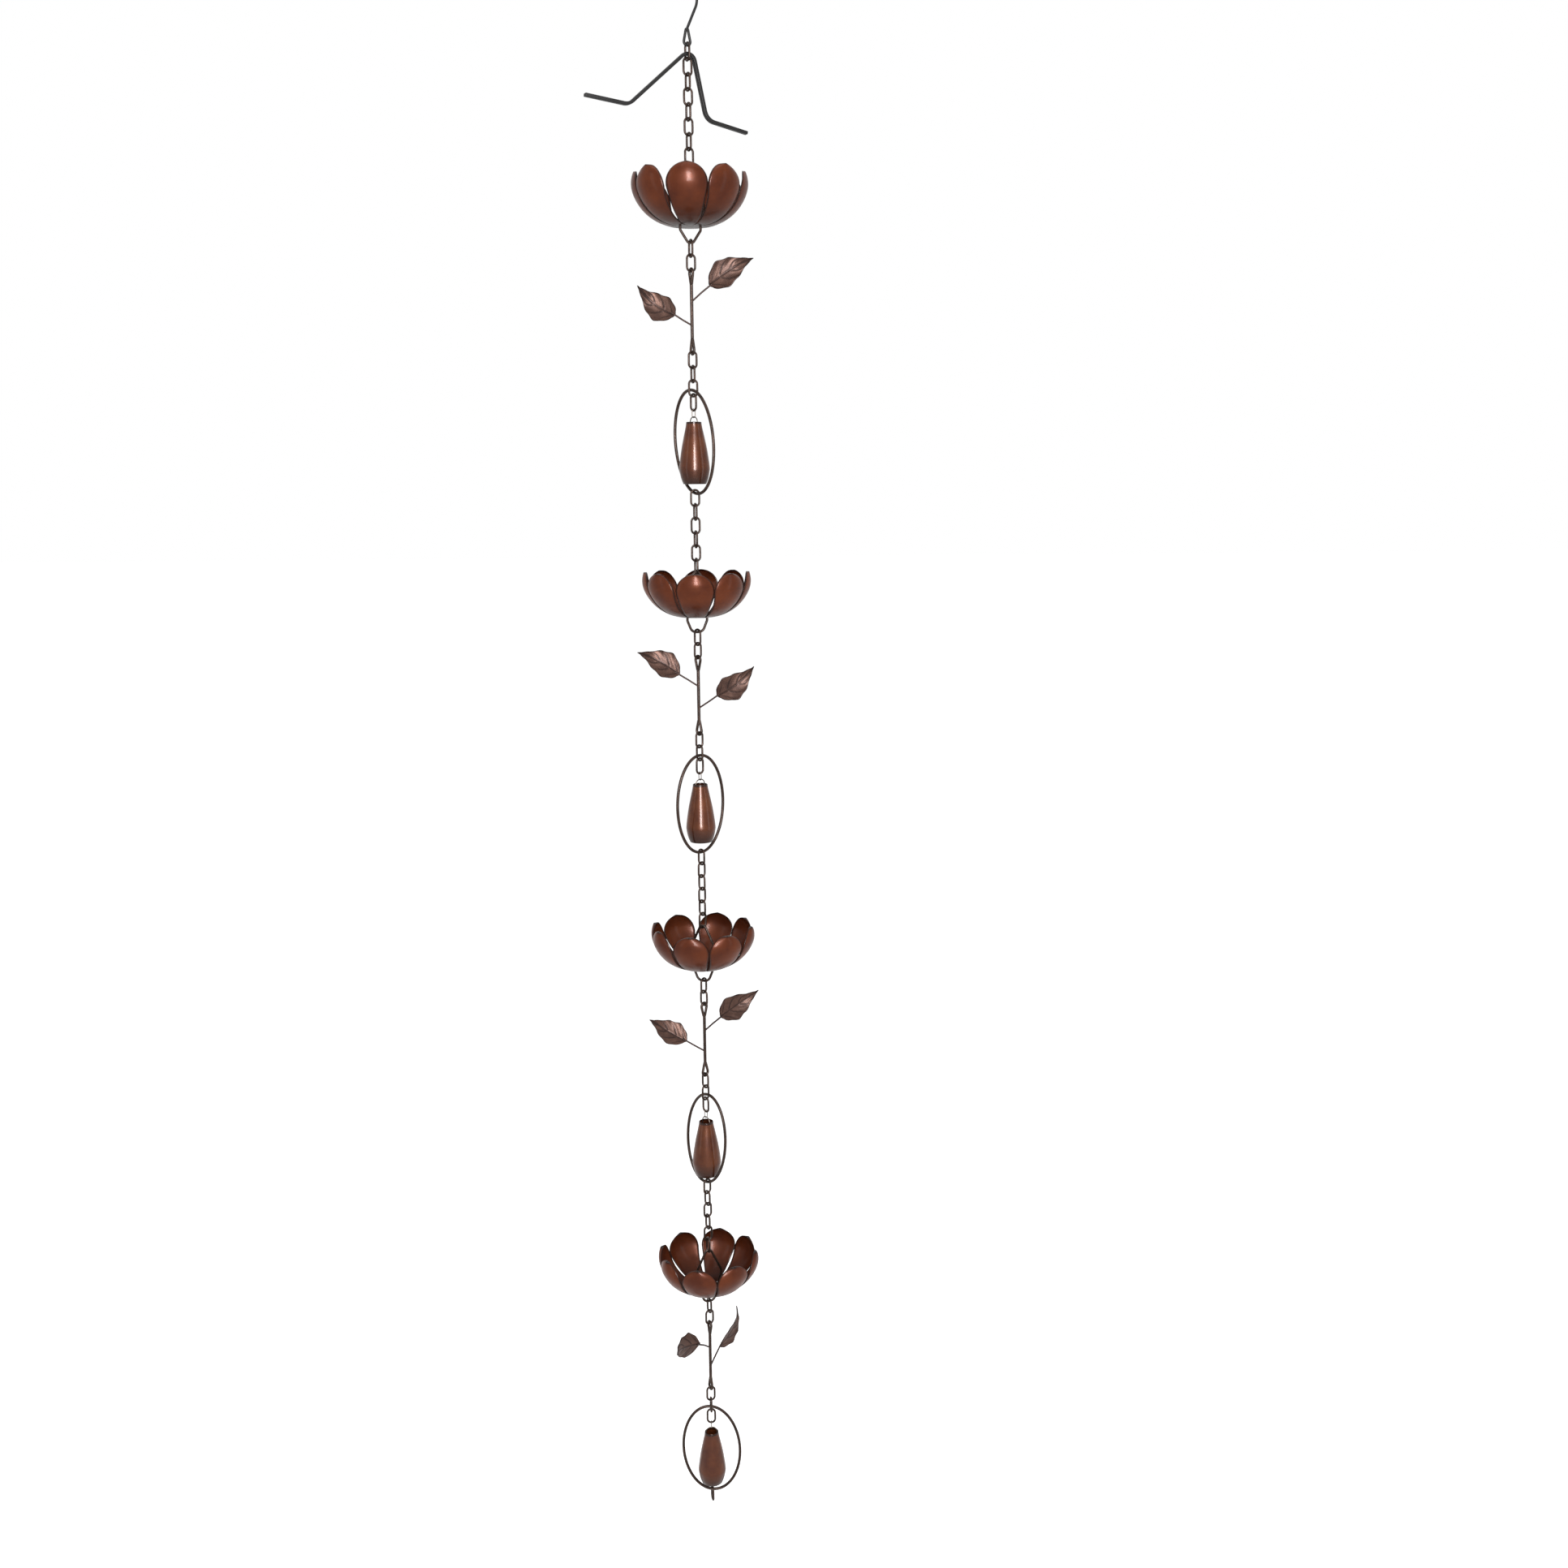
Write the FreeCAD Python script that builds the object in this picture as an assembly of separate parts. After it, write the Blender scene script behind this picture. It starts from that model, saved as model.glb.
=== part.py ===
"""Rain chain: four flower cups, leafed stems and hoops with a drop, strung on one link chain.

Millimetres, +Z up. The origin is the inside top of the hook's bow, the point that hangs on a nail,
and the chain hangs plumb below it. +X is to the right and +Y away when the chain is seen from the front.
Every wire piece is drawn with the centre of its top wire at its own origin and then hung in its place.
"""
import FreeCAD, Part
import math
import os

from FreeCAD import Placement, Rotation, Vector

# Chain links
LINK_WIRE = 2.5
LINK_INNER_LENGTH = 16.0
LINK_INNER_WIDTH = 7.4
HANG_GAP = 0.3
BOW_CORNERS = 4
WIRE_SIDES = 6

# Hook
HOOK_WIRE = 3.0
HOOK_DROP = 91.0
HOOK_BOW_INNER_RADIUS = 8.0
HOOK_EYE_LENGTH = 20.0
HOOK_EYE_WIDTH = 11.5
HOOK_KNEE_OUT = 13.5
HOOK_KNEE_DROP = 45.0
HOOK_TIP_ANGLE = 205.0
HOOK_TURN = 30.0
EYE_TOP_WIDTH = 2.4

# Gutter hanger, a bent flat bar over the second link
HANGER_WIDTH = 6.0
HANGER_THICKNESS = 3.6
HANGER_BEND_CLEARANCE = 0.5
HANGER_HALF_ANGLE = 31.0
HANGER_ROLL = 18.0
HANGER_LEFT_ARM = 88.0
HANGER_RIGHT_ARM = 61.5
HANGER_FOOT = 52.0
HANGER_LEFT_FALL = 13.0
HANGER_RIGHT_FALL = -8.0

# Flower cup
CUP_SHEET = 0.8
CUP_FLOOR_RADIUS = 17.0
CUP_TIP_RADIUS = 62.5
CUP_HEIGHT = 52.0
CUP_BOW = 16.5
FIRST_CUP_TIP_RADIUS = 62.0
FIRST_CUP_HEIGHT = 67.0
FIRST_CUP_BOW = 15.0
PETALS = 6
SLIT_WIDTH = 1.2
PETAL_WIDE_AT = 0.5
PETAL_GAP = 13.0
PETAL_TIP_WIDTH = 3.0
LOBE_STEPS = 3
CUP_WALL_STEPS = 4
CUP_SIDES = 12

# Cup bail
BAIL_WIRE = 3.0
BAIL_RISE = 54.0
BAIL_DROP = 19.0
BAIL_SHOULDER_OUT = 17.0
BAIL_SHOULDER_RISE = 22.0
BAIL_FOOT_OUT = 12.0
BAIL_FOOT_STRAIGHT = 4.0
BAIL_APEX_RADIUS = 4.5
BAIL_U_RADIUS = 5.0
BAIL_HOLE_CLEARANCE = 0.1

# Stem and leaves
STEM_WIRE = 3.2
STEM_LENGTH = 97.0
STEM_EYE_LENGTH = 20.0
STEM_EYE_WIDTH = 13.2
LEAF_LENGTH = 57.0
LEAF_WIDTH = 27.0
LEAF_BASE_WIDTH = 3.0
LEAF_WIDE_AT = 0.38
LEAF_STEPS = 5
LEAF_SHEET = 0.8
LEAF_FOLD = 14.0
LEAF_RISE = 33.0
STALK_WIRE = 1.6
STALK_LENGTH = 28.0
STALK_RISE = 40.0
STALK_SEAT = 0.1
STALK_LAP = 6.0
UPPER_LEAF_DROP = 36.0
LOWER_LEAF_DROP = 62.0

# Hoop
HOOP_WIRE = 3.2
HOOP_LENGTH = 121.0
HOOP_WIDTH = 75.0
HOOP_SIDES = 16

# Drop with its arch and tie, which hang within the hoop
DROP_HEADROOM = 51.0
DROP_HEIGHT = HOOP_LENGTH - DROP_HEADROOM
DROP_BELLY_RADIUS = 17.5
DROP_BELLY_RISE = 17.0
DROP_BASE_RADIUS = 13.5
DROP_NECK_RADIUS = 8.5
DROP_WALL = 1.0
DROP_COLLAR_HEIGHT = 2.4
DROP_COLLAR_OUT = 0.7
DROP_CHEEK_OUT = 1.6
DROP_SHOULDER_OUT = 1.0
DROP_SIDES = 10
ARCH_WIRE = 1.2
ARCH_RISE = 6.0
ARCH_LEG_DEPTH = 5.0
ARCH_SEAT = 0.1
TIE_WIRE = 0.9
TIE_INNER_LENGTH = 9.0
TIE_INNER_WIDTH = 3.4

# Turns of the pieces about the chain, in degrees from the front
HANGING_LINK_TURN = -60.0
TOP_CHAIN_LINKS = 8
TOP_CHAIN_TURN = 30.0
RUN_LINKS = 6
RUN_TURNS = [20.0, -45.0, 42.0]
RUN_TWISTS = [0.0, 0.0, -4.0]
PETAL_TURNS = [0.0, -8.0, -12.5, -9.0]
BAIL_TURNS = [20.0, 20.0, -20.0, 20.0]
LINK_A_TURNS = [-65.0, -45.0, 55.0, -60.0]
LINK_B_TURNS = [25.0, 45.0, -40.0, 30.0]
STEM_TURNS = [-60.0, -45.0, 45.0, -60.0]
LEAF_TURNS = [0.0, 0.0, 0.0, 57.0]
UPPER_LEAF_SIDES = [1, -1, 1, -1]
LOWER_LINKS = [3, 2, 2, 2]
LOWER_TURNS = [30.0, 44.0, -45.0, 15.0]
LOWER_TWISTS = [-5.0, 0.0, 0.0, -5.0]
HOOP_TURNS = [-50.0, 44.0, -48.0, 5.0]
HOOP_LEANS = [9.0, 0.0, -9.0, 6.0]
END_LINK_TURN = -75.0


def bow(radius, centre, start, sweep, corners):
    """Corners of a bend whose sides touch a circle of the given radius, in the XZ plane."""
    step = math.radians(sweep) / corners
    corner_radius = radius / math.cos(step / 2)
    angles = [math.radians(start) + step * (i + 0.5) for i in range(corners)]
    return [centre + Vector(corner_radius * math.cos(a), 0, corner_radius * math.sin(a)) for a in angles]


def wire_section(start, along, wire):
    """Six-sided wire section with its flats towards the inside and the outside of the bends."""
    side = Vector(0, 1, 0)
    out = side.cross(along)
    corner_radius = wire / 2 / math.cos(math.pi / WIRE_SIDES)
    angles = [math.radians(360.0 / WIRE_SIDES * i) for i in range(WIRE_SIDES)]
    spokes = [side * math.cos(a) + out * math.sin(a) for a in angles]
    corners = [start + spoke * corner_radius for spoke in spokes]
    return Part.makePolygon(corners + corners[:1])


def closed_wire(corners, wire):
    """Wire bent round a closed path."""
    start = (corners[0] + corners[-1]) * 0.5
    path = Part.makePolygon([start] + corners + [start])
    along = (corners[0] - start).normalize()
    ring = path.makePipeShell([wire_section(start, along, wire)], True, False, 1)
    return ring.removeSplitter()


def open_wire(corners, wire):
    """Wire bent along an open path with square ends."""
    along = (corners[1] - corners[0]).normalize()
    path = Part.makePolygon(corners)
    return path.makePipeShell([wire_section(corners[0], along, wire)], True, False, 1)


def oblong_link(inner_length, inner_width, wire):
    """Link with two straight sides and two round bows."""
    radius = (inner_width + wire) / 2
    length = inner_length + wire
    upper = bow(radius, Vector(0, 0, -radius), 0, 180, BOW_CORNERS)
    lower = bow(radius, Vector(0, 0, radius - length), 180, 180, BOW_CORNERS)
    return closed_wire(upper + lower, wire)


def eye_corners(length, width, wire):
    """Corners of a teardrop eye, pointed downwards, with the centre of its round end at the origin."""
    radius = (width - wire) / 2
    point = wire - length
    half_top = EYE_TOP_WIDTH / 2
    round_end = bow(radius, Vector(0, 0, -radius), -15, 210, BOW_CORNERS)
    return round_end + [Vector(-half_top, 0, point), Vector(half_top, 0, point)]


def turned_solid(profile, sides):
    """Turned shape with flat sides, from a profile that runs from its bottom plate to its inner plate."""
    rings = []
    for point in profile:
        reach = point.x / math.cos(math.pi / sides)
        angles = [2 * math.pi * i / sides for i in range(sides)]
        rings.append([Vector(reach * math.cos(a), reach * math.sin(a), point.z) for a in angles])
    faces = [Part.Face(Part.makePolygon(ring + ring[:1])) for ring in (rings[0], rings[-1])]
    for low, high in zip(rings, rings[1:]):
        for i in range(sides):
            j = (i + 1) % sides
            faces.append(Part.Face(Part.makePolygon([low[i], low[j], high[j], high[i], low[i]])))
    return Part.makeSolid(Part.makeShell(faces))


def hung(shape, height, turn):
    """Copy of a piece turned about the chain and hung at a height."""
    copy = shape.copy()
    copy.Placement = Placement(Vector(0, 0, height), Rotation(Vector(0, 0, 1), turn))
    return copy


def seat_rise(lower_wire, upper_wire):
    """Height of a hanging wire's centre over the centre of the wire that carries it."""
    return (lower_wire + upper_wire) / 2 + HANG_GAP


LINK = oblong_link(LINK_INNER_LENGTH, LINK_INNER_WIDTH, LINK_WIRE)
LINK_DROP = LINK_INNER_LENGTH + LINK_WIRE
LINK_PITCH = LINK_DROP - seat_rise(LINK_WIRE, LINK_WIRE)
LINK_CROWN = (LINK_INNER_WIDTH / 2 + LINK_WIRE) * math.tan(math.pi / BOW_CORNERS / 2)


def link_run(count, top, turn, twist):
    """Chain links hung in one another, each a quarter turn and a twist on from the last."""
    return [hung(LINK, top - LINK_PITCH * i, turn + (90 + twist) * i) for i in range(count)]


def run_end(count, top):
    """Height of the lowest wire centre of a run of links."""
    return top - LINK_PITCH * (count - 1) - LINK_DROP


def hook_shape():
    """Open hook bow, slanting shank and closed eye, drawn from the inside top of the bow."""
    bow_radius = HOOK_BOW_INNER_RADIUS + HOOK_WIRE / 2
    eye_top = HOOK_EYE_LENGTH - HOOK_WIRE - HOOK_DROP
    eye = closed_wire(eye_corners(HOOK_EYE_LENGTH, HOOK_EYE_WIDTH, HOOK_WIRE), HOOK_WIRE)
    eye.rotate(Vector(0, 0, 0), Vector(0, 1, 0), 180)
    eye.translate(Vector(0, 0, -HOOK_DROP))
    shank = [Vector(0, 0, eye_top), Vector(HOOK_KNEE_OUT, 0, -HOOK_KNEE_DROP)]
    over = bow(bow_radius, Vector(0, 0, -HOOK_BOW_INNER_RADIUS), 0, HOOK_TIP_ANGLE, BOW_CORNERS + 1)
    return eye.fuse(open_wire(shank + over, HOOK_WIRE)).removeSplitter()


def hanger_radius():
    """Radius of the bar's middle where it is bent over the link's bow."""
    bow_outside = (LINK_INNER_WIDTH / 2 + LINK_WIRE) / math.cos(math.pi / BOW_CORNERS / 2)
    return bow_outside + HANGER_BEND_CLEARANCE + HANGER_THICKNESS / 2


def hanger_side(arm, fall):
    """Ends of a foot and of its arm, drawn to the right of the bow's centre before the bar is rolled."""
    half = math.radians(HANGER_HALF_ANGLE)
    slope = math.radians(fall)
    arm_start = Vector(math.cos(half), 0, math.sin(half)) * hanger_radius()
    arm_end = arm_start + Vector(math.sin(half), 0, -math.cos(half)) * arm
    foot_end = arm_end + Vector(math.cos(slope), 0, -math.sin(slope)) * HANGER_FOOT
    return [foot_end, arm_end]


def hanger_shape():
    """Flat bar bent over a link's bow, with two spread arms and two feet, drawn from the bow's centre."""
    right = hanger_side(HANGER_RIGHT_ARM, HANGER_RIGHT_FALL)
    left = [Vector(-p.x, 0, p.z) for p in reversed(hanger_side(HANGER_LEFT_ARM, HANGER_LEFT_FALL))]
    bend = bow(hanger_radius(), Vector(0, 0, 0), HANGER_HALF_ANGLE, 180 - 2 * HANGER_HALF_ANGLE, BOW_CORNERS)
    roll = Rotation(Vector(0, 1, 0), HANGER_ROLL)
    corners = [roll.multVec(p) for p in right + bend + left]
    along = (corners[1] - corners[0]).normalize()
    side = Vector(0, HANGER_WIDTH / 2, 0)
    flat = Vector(0, 1, 0).cross(along) * (HANGER_THICKNESS / 2)
    start = corners[0]
    section = [start + side + flat, start + side - flat, start - side - flat, start - side + flat]
    return Part.makePolygon(corners).makePipeShell([Part.makePolygon(section + section[:1])], True, False, 1)


def petal_gap(height, tip_radius):
    """Space between two petals: a slit at the floor that widens into the notch between two tips."""
    wide = height * PETAL_WIDE_AT
    lobe = height - wide
    spread = tip_radius * math.sin(math.pi / PETALS) - PETAL_TIP_WIDTH / 2
    right = [Vector(0, SLIT_WIDTH / 2, CUP_SHEET * 2)]
    for i in range(LOBE_STEPS + 1):
        round_off = math.pi / 2 * i / LOBE_STEPS
        half_gap = PETAL_GAP / 2 + (spread - PETAL_GAP / 2) * (1 - math.cos(round_off))
        right.append(Vector(0, half_gap, wide + lobe * math.sin(round_off)))
    right.append(Vector(0, spread, height + CUP_SHEET))
    left = [Vector(0, -p.y, p.z) for p in reversed(right)]
    outline = Part.makePolygon(right + left + right[:1])
    return Part.Face(outline).extrude(Vector(tip_radius * 2, 0, 0))


def cup_shape(height, tip_radius, bow_depth):
    """Sheet flower: a flat floor and six petals that sweep out and up, slit apart down to the floor."""
    foot = Vector(CUP_FLOOR_RADIUS, 0, 0)
    tip = Vector(tip_radius, 0, height)
    chord = (tip - foot).normalize()
    belly = (foot + tip) * 0.5 + Vector(chord.z, 0, -chord.x) * bow_depth
    wall = Part.Arc(foot, belly, tip).toShape()
    centre = wall.Curve.Center
    thinner = (wall.Curve.Radius - CUP_SHEET) / wall.Curve.Radius
    outside = wall.discretize(Number=CUP_WALL_STEPS + 1)
    inside = [centre + (p - centre) * thinner for p in reversed(outside)]
    bowl = turned_solid(outside + inside, CUP_SIDES)
    gap = petal_gap(height, tip_radius)
    gap.translate(Vector(CUP_FLOOR_RADIUS, 0, 0))
    gaps = []
    for i in range(PETALS):
        one = gap.copy()
        one.rotate(Vector(0, 0, 0), Vector(0, 0, 1), 360.0 / PETALS * i)
        gaps.append(one)
    return bowl.cut(gaps)


def bail_shape():
    """Closed wire bail: a pointed arch over the cup's floor, two feet through it and a U beneath."""
    floor = BAIL_WIRE / 2 - BAIL_RISE
    low = floor - BAIL_DROP + BAIL_WIRE / 2
    apex = bow(BAIL_APEX_RADIUS, Vector(0, 0, -BAIL_APEX_RADIUS), 20, 140, BOW_CORNERS - 2)
    left = [
        Vector(-BAIL_SHOULDER_OUT, 0, floor + BAIL_SHOULDER_RISE),
        Vector(-BAIL_FOOT_OUT, 0, floor + BAIL_FOOT_STRAIGHT),
        Vector(-BAIL_FOOT_OUT, 0, floor - BAIL_FOOT_STRAIGHT),
    ]
    beneath = bow(BAIL_U_RADIUS, Vector(0, 0, low + BAIL_U_RADIUS), 200, 140, BOW_CORNERS - 2)
    right = [Vector(-p.x, 0, p.z) for p in reversed(left)]
    return closed_wire(apex + left + beneath + right, BAIL_WIRE)


def bail_holes(turn):
    """Two holes in the cup's floor that the bail's feet go through."""
    across = BAIL_WIRE + 2 * BAIL_HOLE_CLEARANCE
    holes = []
    for side in (-1, 1):
        top = Vector(side * BAIL_FOOT_OUT, 0, BAIL_FOOT_STRAIGHT)
        bottom = Vector(side * BAIL_FOOT_OUT, 0, -BAIL_FOOT_STRAIGHT)
        holes.append(hung(open_wire([top, bottom], across), 0, turn))
    return holes


def stem_shape():
    """Straight stem with a teardrop eye bent at each end."""
    upper = closed_wire(eye_corners(STEM_EYE_LENGTH, STEM_EYE_WIDTH, STEM_WIRE), STEM_WIRE)
    lower = upper.copy()
    lower.rotate(Vector(0, 0, 0), Vector(0, 1, 0), 180)
    lower.translate(Vector(0, 0, STEM_WIRE - STEM_LENGTH))
    eye_point = STEM_WIRE - STEM_EYE_LENGTH
    shaft = open_wire([Vector(0, 0, eye_point), Vector(0, 0, STEM_WIRE - STEM_LENGTH - eye_point)], STEM_WIRE)
    return upper.fuse([lower, shaft]).removeSplitter()


def leaf_shape():
    """Pointed leaf folded along its midrib on a thin stalk that starts at the stem's face."""
    base_edge = Vector(0, 0, LEAF_BASE_WIDTH / 2)
    widest = Vector(LEAF_LENGTH * LEAF_WIDE_AT, 0, LEAF_WIDTH / 2)
    tip_edge = Vector(LEAF_LENGTH, 0, LEAF_SHEET)
    margin = Part.BSplineCurve()
    margin.interpolate([base_edge, widest, tip_edge])
    edge = margin.toShape().discretize(Number=LEAF_STEPS + 1)
    below = Vector(0, 0, -LEAF_WIDTH / 2)
    corners = [base_edge + below] + edge + [tip_edge + below]
    half = Part.Face(Part.makePolygon(corners + corners[:1])).extrude(Vector(0, LEAF_SHEET, 0))
    half.rotate(Vector(0, 0, 0), Vector(1, 0, 0), LEAF_FOLD)
    over_midrib = Part.makeBox(LEAF_LENGTH * 2, LEAF_WIDTH * 2, LEAF_WIDTH)
    over_midrib.translate(Vector(-LEAF_LENGTH / 2, -LEAF_WIDTH, 0))
    upper = half.common(over_midrib)
    lower = upper.mirror(Vector(0, 0, 0), Vector(0, 0, 1))
    blade = upper.fuse(lower).removeSplitter()
    rise = math.radians(STALK_RISE)
    base = Vector(math.cos(rise), 0, math.sin(rise)) * STALK_LENGTH
    blade.rotate(Vector(0, 0, 0), Vector(0, 1, 0), -LEAF_RISE)
    blade.translate(base)
    stalk = open_wire([Vector(0, 0, 0), base * (1 + STALK_LAP / STALK_LENGTH)], STALK_WIRE)
    return blade.fuse(stalk)


def seated_leaf(leaf, height, turn):
    """Leaf whose stalk ends at the face of the stem."""
    placed = hung(leaf, height, turn)
    shaft = Part.makeCylinder(STEM_WIRE / 2 / math.cos(math.pi / WIRE_SIDES) + STALK_SEAT, STEM_LENGTH)
    shaft.translate(Vector(0, 0, height - STEM_LENGTH / 2))
    return placed.cut(shaft)


def hoop_half_span(lean):
    """Distance of the hoop's wire centre above its middle, straight over it, when the hoop leans."""
    half_length = (HOOP_LENGTH - HOOP_WIRE) / 2
    half_width = (HOOP_WIDTH - HOOP_WIRE) / 2
    roll = math.radians(lean)
    return 1 / math.hypot(math.sin(roll) / half_width, math.cos(roll) / half_length)


def hoop_slope(lean):
    """Slope of the leaning hoop's wire straight over its middle."""
    half_length = (HOOP_LENGTH - HOOP_WIRE) / 2
    half_width = (HOOP_WIDTH - HOOP_WIRE) / 2
    roll = math.radians(lean)
    across = math.sin(roll) * math.cos(roll) * (1 / half_width ** 2 - 1 / half_length ** 2)
    return across * hoop_half_span(lean) ** 2


def hoop_shape(lean):
    """Oval hoop, leaning in its own plane, with a straight side of its outline at both hang points."""
    half_side = math.pi / HOOP_SIDES
    half_length = (HOOP_LENGTH - HOOP_WIRE) / 2 / math.cos(half_side)
    half_width = (HOOP_WIDTH - HOOP_WIRE) / 2 / math.cos(half_side)
    roll = math.radians(lean)
    top = math.atan2(half_width * math.cos(roll), half_length * math.sin(roll))
    corners = []
    for i in range(HOOP_SIDES):
        t = top + half_side * (2 * i + 1)
        x = half_width * math.cos(t)
        z = half_length * math.sin(t)
        corner = Vector(x * math.cos(roll) - z * math.sin(roll), 0, x * math.sin(roll) + z * math.cos(roll))
        corners.append(corner - Vector(0, 0, hoop_half_span(lean)))
    return closed_wire(corners, HOOP_WIRE)


def drop_shape():
    """Hollow drop with a flat base, a round belly, a long shoulder and an open neck with a collar."""
    collar = Vector(DROP_NECK_RADIUS + DROP_COLLAR_OUT, 0, 0)
    under = collar - Vector(0, 0, DROP_COLLAR_HEIGHT)
    neck = Vector(DROP_NECK_RADIUS, 0, -DROP_COLLAR_HEIGHT)
    belly = Vector(DROP_BELLY_RADIUS, 0, DROP_BELLY_RISE - DROP_HEIGHT)
    base = Vector(DROP_BASE_RADIUS, 0, -DROP_HEIGHT)
    cheek = (base + belly) * 0.5 + Vector(DROP_CHEEK_OUT, 0, 0)
    shoulder = (neck + belly) * 0.5 + Vector(DROP_SHOULDER_OUT, 0, 0)
    inward = Vector(-DROP_WALL, 0, 0)
    outside = [base, cheek, belly, shoulder, neck, under, collar]
    mouth = Vector(DROP_NECK_RADIUS, 0, 0) + inward
    inside = [mouth, belly + inward, base + inward + Vector(0, 0, DROP_WALL)]
    return turned_solid(outside + inside, DROP_SIDES)


def arch_shape():
    """Fine wire arch whose legs stand against the inside of the drop's neck."""
    radius = DROP_NECK_RADIUS - DROP_WALL - ARCH_SEAT - ARCH_WIRE / 2
    half_round = bow(radius, Vector(0, 0, 0), 0, 180, BOW_CORNERS)
    crown = [Vector(p.x, 0, p.z * ARCH_RISE / radius) for p in half_round]
    legs = [Vector(radius, 0, -ARCH_LEG_DEPTH), Vector(-radius, 0, -ARCH_LEG_DEPTH)]
    return open_wire(legs[:1] + crown + legs[1:], ARCH_WIRE)


os.makedirs("parts", exist_ok=True)


def write(name, shapes):
    """Write one node, a single solid or a group of separate solids."""
    node = shapes[0] if len(shapes) == 1 else Part.makeCompound(shapes)
    node.exportStep("parts/" + name + ".step")


# Hook, hanging link, hanger and the chain down to the first cup
write("hook", [hung(hook_shape(), 0, HOOK_TURN)])
hanging_link_top = seat_rise(HOOK_WIRE, LINK_WIRE) - HOOK_DROP
write("hanging_link", [hung(LINK, hanging_link_top, HANGING_LINK_TURN)])
top_chain_top = hanging_link_top - LINK_PITCH
write("top_chain", link_run(TOP_CHAIN_LINKS, top_chain_top, TOP_CHAIN_TURN, 0))
hanger_centre = top_chain_top - (LINK_INNER_WIDTH + LINK_WIRE) / 2
write("gutter_hanger", [hung(hanger_shape(), hanger_centre, TOP_CHAIN_TURN)])
carrying = run_end(TOP_CHAIN_LINKS, top_chain_top)

# Four modules, each a cup on its bail, a leafed stem and a hoop with its drop
FIRST_CUP = cup_shape(FIRST_CUP_HEIGHT, FIRST_CUP_TIP_RADIUS, FIRST_CUP_BOW)
CUP = cup_shape(CUP_HEIGHT, CUP_TIP_RADIUS, CUP_BOW)
BAIL = bail_shape()
STEM = stem_shape()
LEAF = leaf_shape()
DROP = drop_shape()
ARCH = arch_shape()
TIE = oblong_link(TIE_INNER_LENGTH, TIE_INNER_WIDTH, TIE_WIRE)
ARCH_SEAT_RISE = (TIE_WIRE + ARCH_WIRE) / 2 + ARCH_SEAT

for module in range(len(HOOP_TURNS)):
    number = str(module + 1)
    bail_turn = BAIL_TURNS[module]
    hoop_turn = HOOP_TURNS[module]
    lean = HOOP_LEANS[module]

    bail_top = carrying + seat_rise(LINK_WIRE, BAIL_WIRE)
    floor = bail_top + BAIL_WIRE / 2 - BAIL_RISE
    cup = FIRST_CUP if module == 0 else CUP
    cup = cup.cut(bail_holes(bail_turn - PETAL_TURNS[module]))
    write("cup_" + number, [hung(cup, floor, PETAL_TURNS[module])])
    write("cup_bail_" + number, [hung(BAIL, bail_top, bail_turn)])

    link_a_top = floor - BAIL_DROP + BAIL_WIRE / 2 + seat_rise(BAIL_WIRE, LINK_WIRE)
    write("link_a_" + number, [hung(LINK, link_a_top, LINK_A_TURNS[module])])
    link_b_top = link_a_top - LINK_PITCH
    write("link_b_" + number, [hung(LINK, link_b_top, LINK_B_TURNS[module])])

    stem_top = link_b_top - LINK_DROP + seat_rise(LINK_WIRE, STEM_WIRE)
    write("stem_" + number, [hung(STEM, stem_top, STEM_TURNS[module])])
    right = UPPER_LEAF_DROP if UPPER_LEAF_SIDES[module] > 0 else LOWER_LEAF_DROP
    left = UPPER_LEAF_DROP + LOWER_LEAF_DROP - right
    write("leaf_right_" + number, [seated_leaf(LEAF, stem_top - right, LEAF_TURNS[module])])
    write("leaf_left_" + number, [seated_leaf(LEAF, stem_top - left, LEAF_TURNS[module] + 180)])

    lower_top = stem_top - STEM_LENGTH + STEM_WIRE + seat_rise(STEM_WIRE, LINK_WIRE)
    lower_links = link_run(LOWER_LINKS[module], lower_top, LOWER_TURNS[module], LOWER_TWISTS[module])
    write("lower_links_" + number, lower_links)
    carrier = run_end(len(lower_links), lower_top)

    drop_link_top = carrier + seat_rise(LINK_WIRE, LINK_WIRE)
    write("drop_link_" + number, [hung(LINK, drop_link_top, hoop_turn)])
    drop_link_end = drop_link_top - LINK_DROP
    tie_top = drop_link_end + seat_rise(LINK_WIRE, TIE_WIRE)
    write("drop_tie_" + number, [hung(TIE, tie_top, hoop_turn + 90)])
    rim = tie_top - TIE_INNER_LENGTH - TIE_WIRE + ARCH_SEAT_RISE - ARCH_RISE
    write("drop_arch_" + number, [hung(ARCH, rim, hoop_turn)])
    write("drop_" + number, [hung(DROP, rim, 0)])

    slope = abs(hoop_slope(lean))
    hoop_top = drop_link_top + seat_rise(LINK_WIRE, HOOP_WIRE) + slope * LINK_CROWN + HANG_GAP
    write("hoop_" + number, [hung(hoop_shape(lean), hoop_top, hoop_turn)])
    hoop_end = hoop_top - 2 * hoop_half_span(lean)
    run_top = hoop_end + seat_rise(HOOP_WIRE, LINK_WIRE) + slope * LINK_WIRE / 2
    if module < len(RUN_TURNS):
        write("link_run_" + number, link_run(RUN_LINKS, run_top, RUN_TURNS[module], RUN_TWISTS[module]))
        carrying = run_end(RUN_LINKS, run_top)
    else:
        write("end_link", [hung(LINK, run_top, END_LINK_TURN)])
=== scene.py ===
import math

import bmesh
import bpy
from mathutils import Matrix, Vector


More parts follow.
